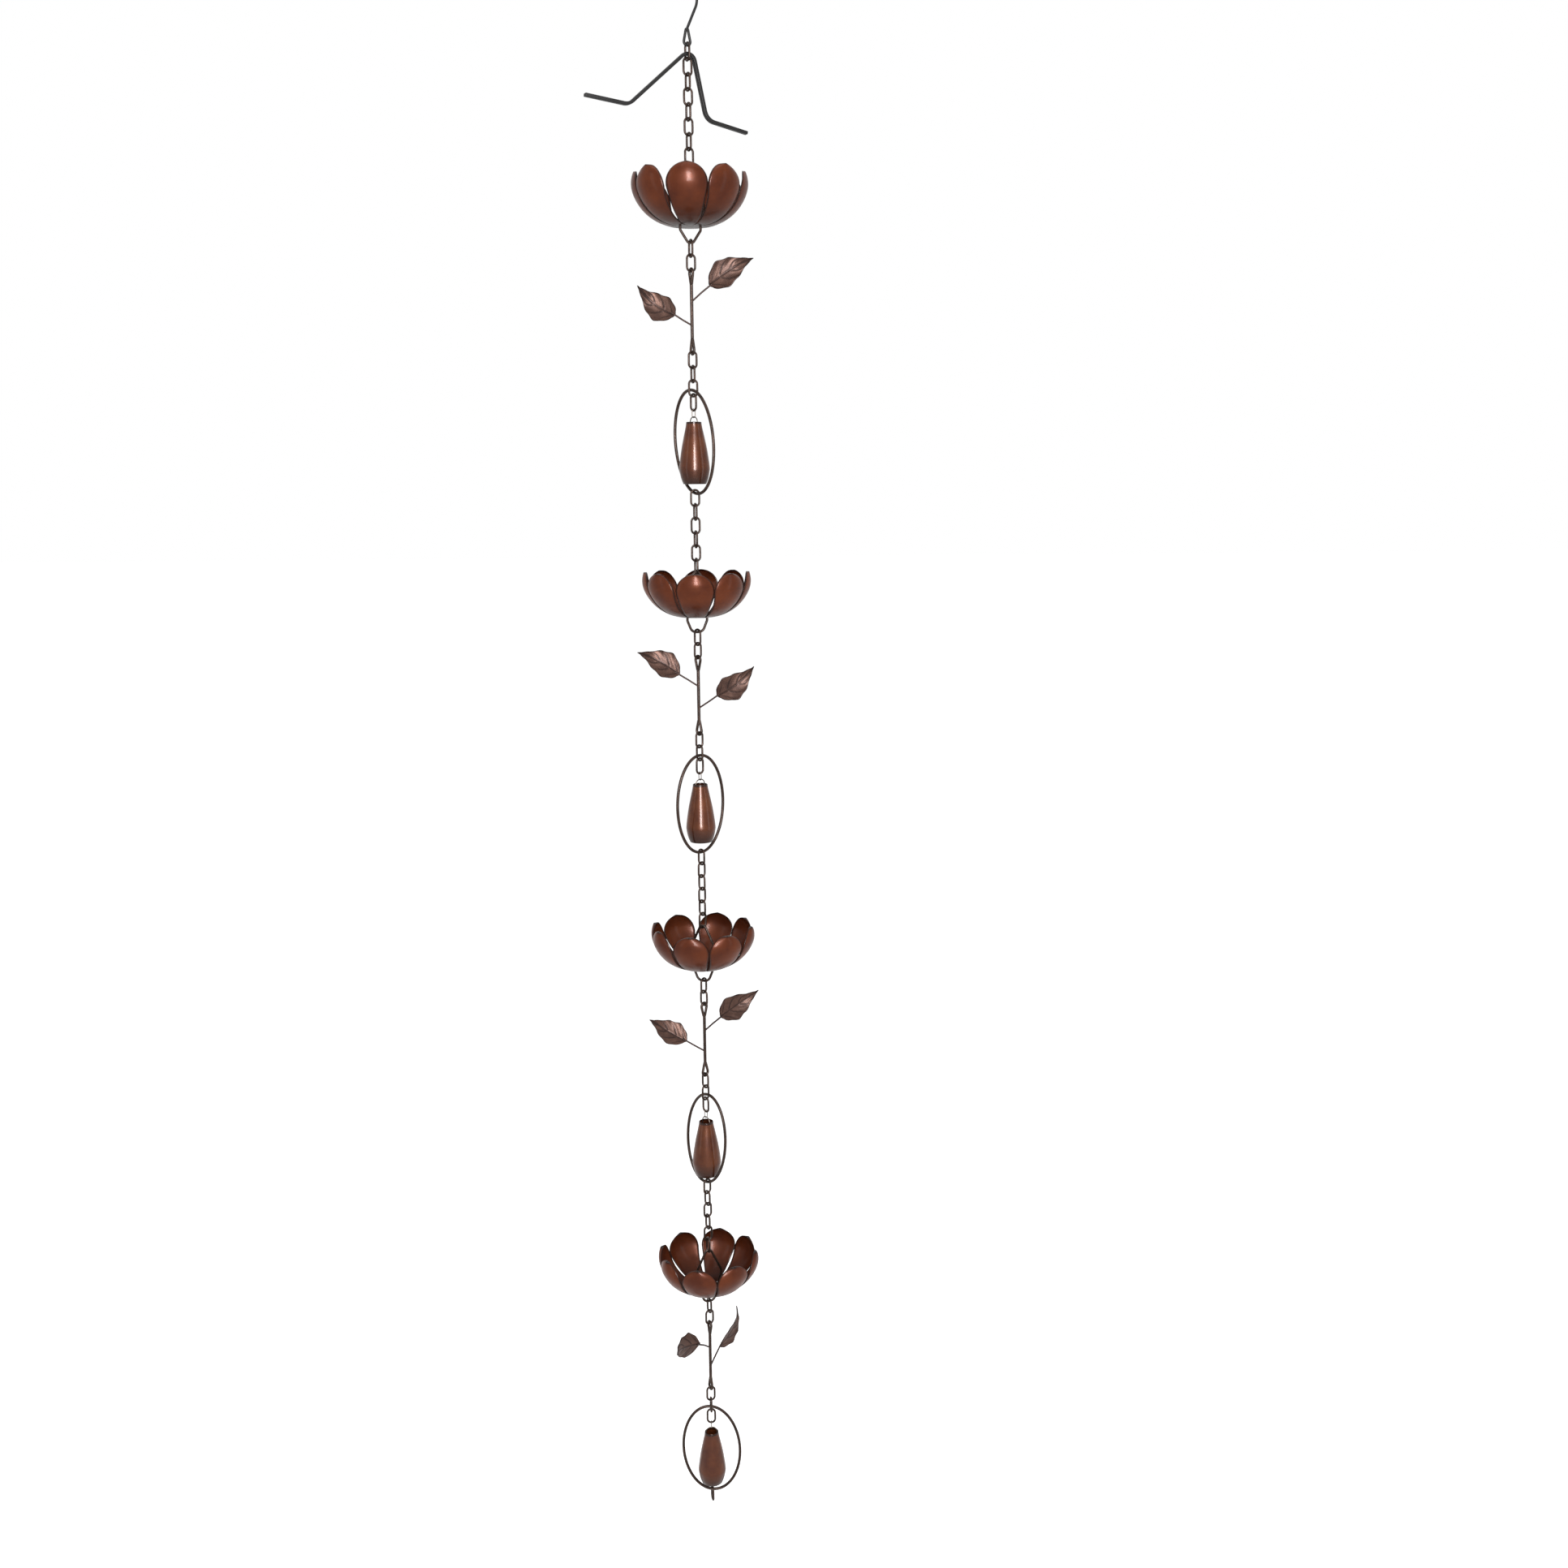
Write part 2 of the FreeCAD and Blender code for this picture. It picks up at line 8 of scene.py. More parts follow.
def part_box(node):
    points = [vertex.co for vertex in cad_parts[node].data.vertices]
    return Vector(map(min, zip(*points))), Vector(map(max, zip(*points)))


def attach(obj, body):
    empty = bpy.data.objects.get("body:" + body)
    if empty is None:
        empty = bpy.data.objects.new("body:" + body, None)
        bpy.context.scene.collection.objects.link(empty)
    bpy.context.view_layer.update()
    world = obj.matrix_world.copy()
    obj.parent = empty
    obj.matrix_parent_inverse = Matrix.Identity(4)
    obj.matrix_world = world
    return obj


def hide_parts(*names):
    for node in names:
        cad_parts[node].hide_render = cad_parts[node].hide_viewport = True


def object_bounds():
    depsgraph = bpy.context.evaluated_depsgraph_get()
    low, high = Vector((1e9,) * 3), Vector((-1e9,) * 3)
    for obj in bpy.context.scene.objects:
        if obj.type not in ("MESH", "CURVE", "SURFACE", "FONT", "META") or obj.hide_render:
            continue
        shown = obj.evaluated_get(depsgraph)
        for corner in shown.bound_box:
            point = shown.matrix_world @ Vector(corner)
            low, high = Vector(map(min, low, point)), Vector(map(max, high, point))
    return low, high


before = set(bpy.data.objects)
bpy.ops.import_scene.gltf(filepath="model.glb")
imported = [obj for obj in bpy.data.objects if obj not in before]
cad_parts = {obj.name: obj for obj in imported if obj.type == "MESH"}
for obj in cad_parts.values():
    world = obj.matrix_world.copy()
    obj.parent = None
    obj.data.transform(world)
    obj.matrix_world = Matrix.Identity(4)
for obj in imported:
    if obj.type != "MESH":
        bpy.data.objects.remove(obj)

cad_low, cad_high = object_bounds()
scene = bpy.context.scene
scene.view_settings.view_transform = "Standard"

# Hook: one length of steel wire with a closed eye turned at its foot and an open bow at its
# head, dipped in black lacquer. The wire is bent cold, so every turn is round.
HOOK_WIRE = 0.003
HOOK_TURN = 30
HOOK_BOW = 0.0095
BOW_START = -8
BOW_SWEEP = 213
BOW_STEPS = 24
HOOK_KNEE = Vector((0.0135, 0, -0.045))
HOOK_KNEE_BEND = 0.02
HOOK_EYE_HALF = 0.00425
HOOK_EYE_REACH = 0.017
HOOK_EYE_FLARE = 1.15
HOOK_NECK_HALF = 0.0012
HOOK_NECK_BEND = 0.0011
EYE_ROUND = 0.96
EYE_STEPS = 10
BEND_STEPS = 8
WIRE_ROUNDNESS = 5
COAT_ROUGHNESS = 0.14
CLOUD_LOW = 0.3
CLOUD_HIGH = 0.7
BLEND_SHARE = 0
BLEND_FIRST = 6
BLEND_SECOND = 7
BLEND_COLOUR = 2


def linear(hex_colour):
    """Linear colour of an sRGB hex value."""
    channels = [int(hex_colour[i:i + 2], 16) / 255 for i in (1, 3, 5)]
    rgb = [c / 12.92 if c <= 0.04045 else ((c + 0.055) / 1.055) ** 2.4 for c in channels]
    return rgb + [1.0]


def add(tree, kind, inputs=None, **settings):
    """Adds a node with its settings, and gives its inputs values or other nodes' outputs."""
    node = tree.nodes.new(kind)
    for name, value in settings.items():
        setattr(node, name, value)
    for entry, given in (inputs or {}).items():
        if isinstance(given, bpy.types.NodeSocket):
            tree.links.new(given, node.inputs[entry])
        else:
            node.inputs[entry].default_value = given
    return node


def new_finish(name, metallic, shine, lacquer=0.0, roughness=0.5):
    """Finish without a colour: its node tree, its shader and the coordinates that its patterns read."""
    material = bpy.data.materials.new(name)
    material.use_nodes = True
    tree = material.node_tree
    shader = tree.nodes["Principled BSDF"]
    shader.inputs["Metallic"].default_value = metallic
    shader.inputs["Roughness"].default_value = roughness
    shader.inputs["Coat Weight"].default_value = lacquer
    shader.inputs["Coat Roughness"].default_value = COAT_ROUGHNESS
    shader.inputs["Specular IOR Level"].default_value = shine
    place = add(tree, "ShaderNodeTexCoord").outputs["Object"]
    return material, tree, shader, place


def patches(tree, place, millimetres, low=0.0, high=1.0):
    """Soft patches of a given size, spread between two values."""
    cloud = add(tree, "ShaderNodeTexNoise", {"Vector": place, "Scale": 1000 / millimetres, "Detail": 3.0})
    spread = {"From Min": CLOUD_LOW, "From Max": CLOUD_HIGH, "To Min": low, "To Max": high}
    return add(tree, "ShaderNodeMapRange", {"Value": cloud.outputs["Fac"], **spread}).outputs["Result"]


def grain(tree, shader, place, millimetres, strength, depth):
    """Fine bump of a given grain size and depth in metres."""
    noise = add(tree, "ShaderNodeTexNoise", {"Vector": place, "Scale": 1000 / millimetres, "Detail": 2.0})
    relief = {"Height": noise.outputs["Fac"], "Strength": strength, "Distance": depth}
    bump = add(tree, "ShaderNodeBump", relief)
    tree.links.new(bump.outputs["Normal"], shader.inputs["Normal"])


# Black lacquer, dipped: near black with a soft gloss, a little uneven where it pooled.
black_lacquer, tree, shader, place = new_finish("black_lacquer", metallic=0.0, shine=0.25)
pooled = patches(tree, place, millimetres=6.0)
blacks = {BLEND_SHARE: pooled, BLEND_FIRST: linear("#0b0a0a"), BLEND_SECOND: linear("#171413")}
black = add(tree, "ShaderNodeMix", blacks, data_type="RGBA").outputs[BLEND_COLOUR]
tree.links.new(black, shader.inputs["Base Color"])
grain(tree, shader, place, millimetres=1.5, strength=0.3, depth=0.0003)


def mesh_piece(name, mesh, material, body, node):
    """Puts a finished mesh in the scene in place of its node and lets it ride on its body."""
    piece = bpy.data.objects.new(name, mesh)
    scene.collection.objects.link(piece)
    mesh.materials.clear()
    mesh.materials.append(material)
    for face in mesh.polygons:
        face.use_smooth = True
    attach(piece, body)
    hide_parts(node)


def finished(holder):
    """Mesh of a working object with its modifiers applied, after which the object is removed."""
    scene.collection.objects.link(holder)
    mesh = bpy.data.meshes.new_from_object(holder.evaluated_get(bpy.context.evaluated_depsgraph_get()))
    bpy.data.objects.remove(holder)
    return mesh


def joined(name, meshes):
    """One mesh from several."""
    shell = bmesh.new()
    for mesh in meshes:
        shell.from_mesh(mesh)
    whole = bpy.data.meshes.new(name)
    shell.to_mesh(whole)
    shell.free()
    return whole


def rounded(corners, radii, steps=BEND_STEPS, closed=False):
    """Path through corners with each bend rounded to its radius."""
    path = []
    count = len(corners)
    for i, corner in enumerate(corners):
        radius = radii[i]
        if radius == 0 or (not closed and i in (0, count - 1)):
            path.append(corner.copy())
            continue
        back = (corners[i - 1] - corner).normalized()
        ahead = (corners[(i + 1) % count] - corner).normalized()
        half = back.angle(ahead) / 2
        centre = corner + (back + ahead).normalized() * (radius / math.sin(half))
        reach = radius / math.tan(half)
        start = corner + back * reach - centre
        end = corner + ahead * reach - centre
        turn = start.angle(end)
        for k in range(steps + 1):
            share = k / steps
            point = (start * math.sin((1 - share) * turn) + end * math.sin(share * turn)) / math.sin(turn)
            path.append(centre + point)
    return path


def hung(points, height, turn):
    """Points of the XZ plane turned about the chain and hung at a height."""
    hanging = Matrix.Translation((0, 0, height)) @ Matrix.Rotation(math.radians(turn), 4, "Z")
    return [hanging @ p for p in points]


def wire_mesh(name, paths, closed):
    """Round wire along paths, each given with its wire's diameter."""
    curve = bpy.data.curves.new(name, "CURVE")
    curve.dimensions = "3D"
    curve.bevel_depth = 1.0
    curve.bevel_resolution = WIRE_ROUNDNESS
    curve.use_fill_caps = True
    for path, diameter in paths:
        spline = curve.splines.new("POLY")
        spline.points.add(len(path) - 1)
        spline.use_cyclic_u = closed
        for point, spot in zip(spline.points, path):
            point.co = (*spot, 1.0)
            point.radius = diameter / 2
    return finished(bpy.data.objects.new(name, curve))


eye_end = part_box("hook")[0].z + HOOK_WIRE / 2
eye_neck = Vector((0, 0, eye_end + HOOK_EYE_REACH))
eye_wide = HOOK_EYE_HALF * HOOK_EYE_FLARE
eye_bend = HOOK_EYE_HALF * EYE_ROUND
eye_corners = [
    Vector((HOOK_NECK_HALF, 0, eye_neck.z)),
    Vector((eye_wide, 0, eye_end)),
    Vector((-eye_wide, 0, eye_end)),
    Vector((-HOOK_NECK_HALF, 0, eye_neck.z)),
]
hook_eye = rounded(eye_corners, [HOOK_NECK_BEND, eye_bend, eye_bend, HOOK_NECK_BEND], EYE_STEPS, True)
bow_centre = Vector((0, 0, HOOK_WIRE / 2 - HOOK_BOW))
bow_angles = [math.radians(BOW_START + BOW_SWEEP * i / BOW_STEPS) for i in range(BOW_STEPS + 1)]
hook_bow = [bow_centre + HOOK_BOW * Vector((math.cos(a), 0, math.sin(a))) for a in bow_angles]
shank = rounded([eye_neck, HOOK_KNEE, hook_bow[0]], [0, HOOK_KNEE_BEND, 0])
eye_mesh = wire_mesh("hook_eye", [(hung(hook_eye, 0, HOOK_TURN), HOOK_WIRE)], True)
shank_mesh = wire_mesh("hook_shank", [(hung(shank + hook_bow[1:], 0, HOOK_TURN), HOOK_WIRE)], False)
hook_mesh = joined("hook_wire", [eye_mesh, shank_mesh])
mesh_piece("hook_wire", hook_mesh, black_lacquer, "hook", "hook")

# Gutter hanger: flat steel bar, bent over a former into a V and turned out at both feet,
# then dipped in black lacquer. It is laid over the second link's bow.
HANGER_WIDTH = 0.006
HANGER_THICK = 0.0036
HANGER_EDGE = 0.0007
HANGER_EDGE_STEPS = 3
HANGER_HALF_ANGLE = math.radians(31)
HANGER_ROLL = 18
HANGER_TURN = 30
# Each arm: its length and the fall of its foot.
HANGER_LEFT = (0.088, math.radians(13))
HANGER_RIGHT = (0.0615, math.radians(-8))
HANGER_FOOT = 0.052
HANGER_BEND = 0.0090
HANGER_FOOT_BEND = 0.014
HANGER_BEND_STEPS = 12
SHARP_ANGLE = 1.0
LINK_WIRE = 0.0025
LINK_INNER_LENGTH = 0.016
LINK_INNER_WIDTH = 0.0074
LINK_BOW = (LINK_INNER_WIDTH + LINK_WIRE) / 2
hanger_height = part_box("top_chain")[1].z - LINK_WIRE / 2 - LINK_BOW


def hanger_side(arm, fall):
    """Ends of a foot and of its arm, to the right of the link's bow, before the bar is rolled."""
    bend_out = Vector((math.cos(HANGER_HALF_ANGLE), 0, math.sin(HANGER_HALF_ANGLE))) * HANGER_BEND
    arm_end = bend_out + Vector((math.sin(HANGER_HALF_ANGLE), 0, -math.cos(HANGER_HALF_ANGLE))) * arm
    foot_end = arm_end + Vector((math.cos(fall), 0, -math.sin(fall))) * HANGER_FOOT
    return [foot_end, arm_end]


apex = Vector((0, 0, HANGER_BEND / math.sin(HANGER_HALF_ANGLE)))
bar_right = hanger_side(*HANGER_RIGHT)
bar_left = [Vector((-p.x, 0, p.z)) for p in reversed(hanger_side(*HANGER_LEFT))]
bar_bends = [0, HANGER_FOOT_BEND, HANGER_BEND, HANGER_FOOT_BEND, 0]
bar_line = rounded(bar_right + [apex] + bar_left, bar_bends, HANGER_BEND_STEPS)
roll = Matrix.Rotation(math.radians(HANGER_ROLL), 4, "Y")
bar_line = [roll @ p for p in bar_line]

bar = bmesh.new()
bar_rings = []
for i, point in enumerate(bar_line):
    ahead = bar_line[min(i + 1, len(bar_line) - 1)] - bar_line[max(i - 1, 0)]
    flat = Vector((0, 1, 0)).cross(ahead).normalized() * (HANGER_THICK / 2)
    side = Vector((0, HANGER_WIDTH / 2, 0))
    corners = (side + flat, side - flat, -side - flat, flat - side)
    bar_rings.append([bar.verts.new(point + corner) for corner in corners])
for first, second in zip(bar_rings, bar_rings[1:]):
    for k in range(4):
        bar.faces.new((first[k], first[(k + 1) % 4], second[(k + 1) % 4], second[k]))
bar.faces.new(bar_rings[0][::-1])
bar.faces.new(bar_rings[-1])
bmesh.ops.recalc_face_normals(bar, faces=bar.faces)
sharp_edges = [e for e in bar.edges if abs(e.calc_face_angle(0)) > SHARP_ANGLE]
bmesh.ops.bevel(
    bar, geom=sharp_edges, offset=HANGER_EDGE, segments=HANGER_EDGE_STEPS, affect="EDGES", profile=0.5
)
hanging = Matrix.Translation((0, 0, hanger_height)) @ Matrix.Rotation(math.radians(HANGER_TURN), 4, "Z")
bmesh.ops.transform(bar, matrix=hanging, verts=bar.verts)
bar_mesh = bpy.data.meshes.new("gutter_hanger_bar")
bar.to_mesh(bar_mesh)
bar.free()
mesh_piece("gutter_hanger_bar", bar_mesh, black_lacquer, "top_chain", "gutter_hanger")

# Chain links: cut rings of bronzed steel wire, bent oblong, closed and given a thin brown
# lacquer. Each hangs a quarter turn from the one above, and all are set out from their
# first link's height by one rule.
MODULES = 4
QUARTER_TURN = 90
HANG_GAP = 0.0003
LINK_PITCH = LINK_INNER_LENGTH - HANG_GAP
LINK_SIZES = {"Wire": LINK_WIRE, "Bow": LINK_BOW, "Straight": LINK_INNER_LENGTH - LINK_INNER_WIDTH}
LINK_STEPS = 32
LINK_SIDES = 12
TOP_LINKS = 8
RUN_LINKS = 6
HANGING_LINK_TURN = -60
TOP_CHAIN_TURN = 30
END_LINK_TURN = -75
LINK_A_TURNS = (-65, -45, 55, -60)
LINK_B_TURNS = (25, 45, -40, 30)
LOWER_LINKS = (3, 2, 2, 2)
LOWER_TURNS = (30, 44, -45, 15)
LOWER_TWISTS = (-5, 0, 0, -5)
RUN_TURNS = (20, -45, 42)
RUN_TWISTS = (0, 0, -4)
HOOP_TURNS = (-50, 44, -48, 5)

# Bronzed steel wire under thin lacquer: the lacquer pools and rubs, so the brown is uneven,
# and the round wire catches long pale highlights.
bronzed_wire, tree, shader, place = new_finish("bronzed_wire", metallic=0.35, shine=0.25)
pooled = patches(tree, place, millimetres=9.0)
browns = {BLEND_SHARE: pooled, BLEND_FIRST: linear("#261a14"), BLEND_SECOND: linear("#3f2d24")}
brown = add(tree, "ShaderNodeMix", browns, data_type="RGBA").outputs[BLEND_COLOUR]
tree.links.new(brown, shader.inputs["Base Color"])
rubbed = patches(tree, place, millimetres=4.0, low=0.28, high=0.46)
tree.links.new(rubbed, shader.inputs["Roughness"])
grain(tree, shader, place, millimetres=1.2, strength=0.25, depth=0.0003)

link_tree = bpy.data.node_groups.new("chain_links", "GeometryNodeTree")
link_tree.interface.new_socket("Places", in_out="INPUT", socket_type="NodeSocketGeometry")
for size_name in LINK_SIZES:
    link_tree.interface.new_socket(size_name, in_out="INPUT", socket_type="NodeSocketFloat")
link_tree.interface.new_socket("Links", in_out="OUTPUT", socket_type="NodeSocketGeometry")
sizes_in = add(link_tree, "NodeGroupInput").outputs
ring_sizes = {"Resolution": LINK_STEPS, "Radius": sizes_in["Bow"]}
ring = add(link_tree, "GeometryNodeCurvePrimitiveCircle", ring_sizes)
spot = add(link_tree, "GeometryNodeInputPosition").outputs[0]
split = add(link_tree, "ShaderNodeSeparateXYZ", {0: spot})
upward = add(link_tree, "ShaderNodeMath", {0: split.outputs["Y"]}, operation="SIGN")
half_straight = add(link_tree, "ShaderNodeMath", {0: sizes_in["Straight"], 1: 0.5}, operation="MULTIPLY")
both_ways = {0: upward.outputs[0], 1: half_straight.outputs[0]}
stretch = add(link_tree, "ShaderNodeMath", both_ways, operation="MULTIPLY")
shift = add(link_tree, "ShaderNodeCombineXYZ", {"Y": stretch.outputs[0]})
pulled = {"Geometry": ring.outputs["Curve"], "Offset": shift.outputs[0]}
oblong = add(link_tree, "GeometryNodeSetPosition", pulled)
half_wire = add(link_tree, "ShaderNodeMath", {0: sizes_in["Wire"], 1: 0.5}, operation="MULTIPLY")
section_sizes = {"Resolution": LINK_SIDES, "Radius": half_wire.outputs[0]}
section = add(link_tree, "GeometryNodeCurvePrimitiveCircle", section_sizes)
bent_wire = {"Curve": oblong.outputs[0], "Profile Curve": section.outputs["Curve"]}
tube = add(link_tree, "GeometryNodeCurveToMesh", bent_wire)
stood = {"Geometry": tube.outputs[0], "Rotation": (math.pi / 2, 0, 0)}
upright = add(link_tree, "GeometryNodeTransform", stood)
turn_value = add(link_tree, "GeometryNodeInputNamedAttribute", {"Name": "turn"}, data_type="FLOAT")
turn_vector = add(link_tree, "ShaderNodeCombineXYZ", {"Z": turn_value.outputs["Attribute"]})
in_a_row = {"Points": sizes_in["Places"], "Instance": upright.outputs[0], "Rotation": turn_vector.outputs[0]}
strung = add(link_tree, "GeometryNodeInstanceOnPoints", in_a_row)
solid = add(link_tree, "GeometryNodeRealizeInstances", {0: strung.outputs[0]})
painted = add(link_tree, "GeometryNodeSetMaterial", {"Geometry": solid.outputs[0], "Material": bronzed_wire})
add(link_tree, "NodeGroupOutput", {"Links": painted.outputs[0]})


def chain_links(node, first_turn, count=1, twist=0):
    """Links of one node, hung below its first link's height, each turned a quarter and a twist more."""
    first_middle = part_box(node)[1].z - LINK_WIRE - LINK_INNER_LENGTH / 2
    places = bpy.data.meshes.new(node + "_places")
    places.from_pydata([(0, 0, first_middle - LINK_PITCH * i) for i in range(count)], [], [])
    turns = places.attributes.new("turn", "FLOAT", "POINT")
    for i in range(count):
        turns.data[i].value = math.radians(first_turn + (QUARTER_TURN + twist) * i)
    holder = bpy.data.objects.new(node + "_places", places)
    rule = holder.modifiers.new("links", "NODES")
    rule.node_group = link_tree
    for socket in link_tree.interface.items_tree:
        if socket.name in LINK_SIZES:
            rule[socket.identifier] = LINK_SIZES[socket.name]
    mesh_piece(node + "_round", finished(holder), bronzed_wire, node, node)


chain_links("hanging_link", HANGING_LINK_TURN)
chain_links("top_chain", TOP_CHAIN_TURN, TOP_LINKS)
for m in range(MODULES):
    number = str(m + 1)
    chain_links("link_a_" + number, LINK_A_TURNS[m])
    chain_links("link_b_" + number, LINK_B_TURNS[m])
    chain_links("lower_links_" + number, LOWER_TURNS[m], LOWER_LINKS[m], LOWER_TWISTS[m])
    chain_links("drop_link_" + number, HOOP_TURNS[m])
for m in range(MODULES - 1):
    chain_links("link_run_" + str(m + 1), RUN_TURNS[m], RUN_LINKS, RUN_TWISTS[m])
chain_links("end_link", END_LINK_TURN)

# Flower cups: one stamped blank of thin copper-plated sheet with eight spoon-shaped petals,
# dished and swept up by hand, so that no two stand quite alike. The bail's legs go through
# the floor.
SHEET = 0.0008
FLOOR_RADIUS = 0.017
BAIL_DEPTH = 0.019
PETALS = 8
PETAL_ROWS = 30
PETAL_COLUMNS = 16
SLIT = 0.0010
CLAW_GAP = 0.0012
WIDE_AT = 0.58
TIP_WIDTH = 0.0008
TIP_CURL = 0.0036
CURL_FROM = 0.72
PETAL_DISH = 0.0035
PETAL_PULL = 0.0012
RIM_WIDTH = 0.0022
RIM_FROM = 0.12
RIM_TIP_REACH = 0.09
FLOOR_SHADE = 1.7
FIRST_PETAL = 270
PETAL_TURNS = (0, -2, 2, -1, -3, 3, 1, -2)
CUP_TURNS = (0, 1, -12, -9)
# Each cup: radius at the petals' tips, height and bow of its side.
FIRST_CUP = (0.0635, 0.058, 0.0165)
LATER_CUP = (0.0625, 0.052, 0.0140)
CUP_SIZES = (FIRST_CUP, LATER_CUP, LATER_CUP, LATER_CUP)

# Copper plating on thin steel sheet, under clear lacquer: a warm brown in soft patches, with painted
# shade darkening it towards the bowl's floor, and nearly black along the cut edges.
copper_sheet, tree, shader, place = new_finish("copper_sheet", metallic=0.16, shine=0.08, lacquer=0.12)
rim = add(tree, "ShaderNodeAttribute", attribute_name="edge").outputs["Fac"]
# Painted shade: the 'low' mark darkens the copper towards the cup's floor.
depth = add(tree, "ShaderNodeAttribute", attribute_name="low").outputs["Fac"]
clouded = patches(tree, place, millimetres=26.0)
coppers = {BLEND_SHARE: clouded, BLEND_FIRST: linear("#502210"), BLEND_SECOND: linear("#6a3217")}
warm = add(tree, "ShaderNodeMix", coppers, data_type="RGBA").outputs[BLEND_COLOUR]
painted_floor_shade = {BLEND_SHARE: depth, BLEND_FIRST: warm, BLEND_SECOND: linear("#270f07")}
with_painted_shade = add(tree, "ShaderNodeMix", painted_floor_shade, data_type="RGBA").outputs[BLEND_COLOUR]
towards_edge = {BLEND_SHARE: rim, BLEND_FIRST: with_painted_shade, BLEND_SECOND: linear("#1f100c")}
edged = add(tree, "ShaderNodeMix", towards_edge, data_type="RGBA").outputs[BLEND_COLOUR]
tree.links.new(edged, shader.inputs["Base Color"])
rubbed = patches(tree, place, millimetres=12.0, low=0.32, high=0.46)
tree.links.new(rubbed, shader.inputs["Roughness"])
grain(tree, shader, place, millimetres=9.0, strength=0.12, depth=0.0006)


def arc_point(start, end, bow, share):
    """Point on an arc from start to end, in radius and height, that stands out from its chord by bow."""
    chord = end - start
    half = chord.length / 2
    radius = (half * half + bow * bow) / (2 * bow)
    spread = math.asin(half / radius)
    along = chord.normalized()
    out = Vector((along.y, -along.x))
    centre = (start + end) / 2 + out * (bow - radius)
    angle = spread * (2 * share - 1)
    return centre + out * (radius * math.cos(angle)) + along * (radius * math.sin(angle))


def half_gap(height_share, tip_radius):
    """Half of the space between two petals at a share of the cup's height."""
    if height_share < WIDE_AT:
        return SLIT / 2 + CLAW_GAP * math.sin(math.pi * max(height_share, 0) / WIDE_AT)
    share = min((height_share - WIDE_AT) / (1 - WIDE_AT), 1)
    spread = tip_radius * math.sin(math.pi / PETALS) - TIP_WIDTH / 2
    return SLIT / 2 + (spread - SLIT / 2) * (1 - math.sqrt(1 - share * share))


def sheet_mesh(name, surface):
    """Thin sheet of even thickness from a surface, which is freed."""
    bmesh.ops.recalc_face_normals(surface, faces=surface.faces)
    mesh = bpy.data.meshes.new(name)
    surface.to_mesh(mesh)
    surface.free()
    holder = bpy.data.objects.new(name, mesh)
    wall = holder.modifiers.new("sheet", "SOLIDIFY")
    wall.thickness = SHEET
    wall.offset = 0
    return finished(holder)


def skin(surface, lines):
    """Faces between neighbouring lines of vertices."""
    for lower, upper in zip(lines, lines[1:]):
        for k in range(len(lower) - 1):
            surface.faces.new((lower[k], lower[k + 1], upper[k + 1], upper[k]))


def cup_mesh(name, tip_radius, height, bow, floor, turn):
    """Sheet flower with its floor, dished petals and the rim and painted-shade marks that its colour reads.
    """
    start = Vector((FLOOR_RADIUS, 0))
    end = Vector((tip_radius, height))
    flower = bmesh.new()
    edge_mark = flower.verts.layers.float.new("edge")
    # The 'low' layer holds painted shade, strongest at the cup's floor.
    painted_shade_mark = flower.verts.layers.float.new("low")
    floor_ring = []
    for petal in range(PETALS):
        middle = math.radians(FIRST_PETAL + 360 / PETALS * petal + turn)
        lean = math.radians(PETAL_TURNS[petal])
        lines = []
        for row in range(PETAL_ROWS + 1):
            share = math.sin(row / PETAL_ROWS * math.pi / 2)
            spot = arc_point(start, end, bow, share)
            half_angle = math.pi / PETALS - math.asin(half_gap(spot.y / height, tip_radius) / spot.x)
            curl = TIP_CURL * (max(0.0, share - CURL_FROM) / (1 - CURL_FROM)) ** 2
            line = []
            for column in range(PETAL_COLUMNS + 1):
                across = 2 * column / PETAL_COLUMNS - 1
                radius = spot.x + share * (PETAL_DISH * (1 - across * across) - PETAL_PULL) - curl
                angle = middle + across * half_angle + lean * share * share
                vert = flower.verts.new((radius * math.cos(angle), radius * math.sin(angle), floor + spot.y))
                inset = min((1 - abs(across)) * half_angle * spot.x, (1 - share) * RIM_TIP_REACH)
                vert[edge_mark] = max(0.0, 1 - inset / RIM_WIDTH) if share > RIM_FROM else 0.0
                # Painted shade: darker towards the cup's floor.
                vert[painted_shade_mark] = max(0.0, 1 - share * FLOOR_SHADE)
                line.append(vert)
            lines.append(line)
        skin(flower, lines)
        floor_ring += lines[0]
    hub = flower.verts.new((0, 0, floor))
    hub[painted_shade_mark] = 1.0
    for k, vert in enumerate(floor_ring):
        flower.faces.new((hub, vert, floor_ring[(k + 1) % len(floor_ring)]))
    return sheet_mesh(name, flower)


for m in range(MODULES):
    node = "cup_" + str(m + 1)
    cup_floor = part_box("cup_bail_" + str(m + 1))[0].z + BAIL_DEPTH + SHEET / 2
    petals_mesh = cup_mesh(node + "_petals", *CUP_SIZES[m], cup_floor, CUP_TURNS[m])
    mesh_piece(node + "_petals", petals_mesh, copper_sheet, node, node)

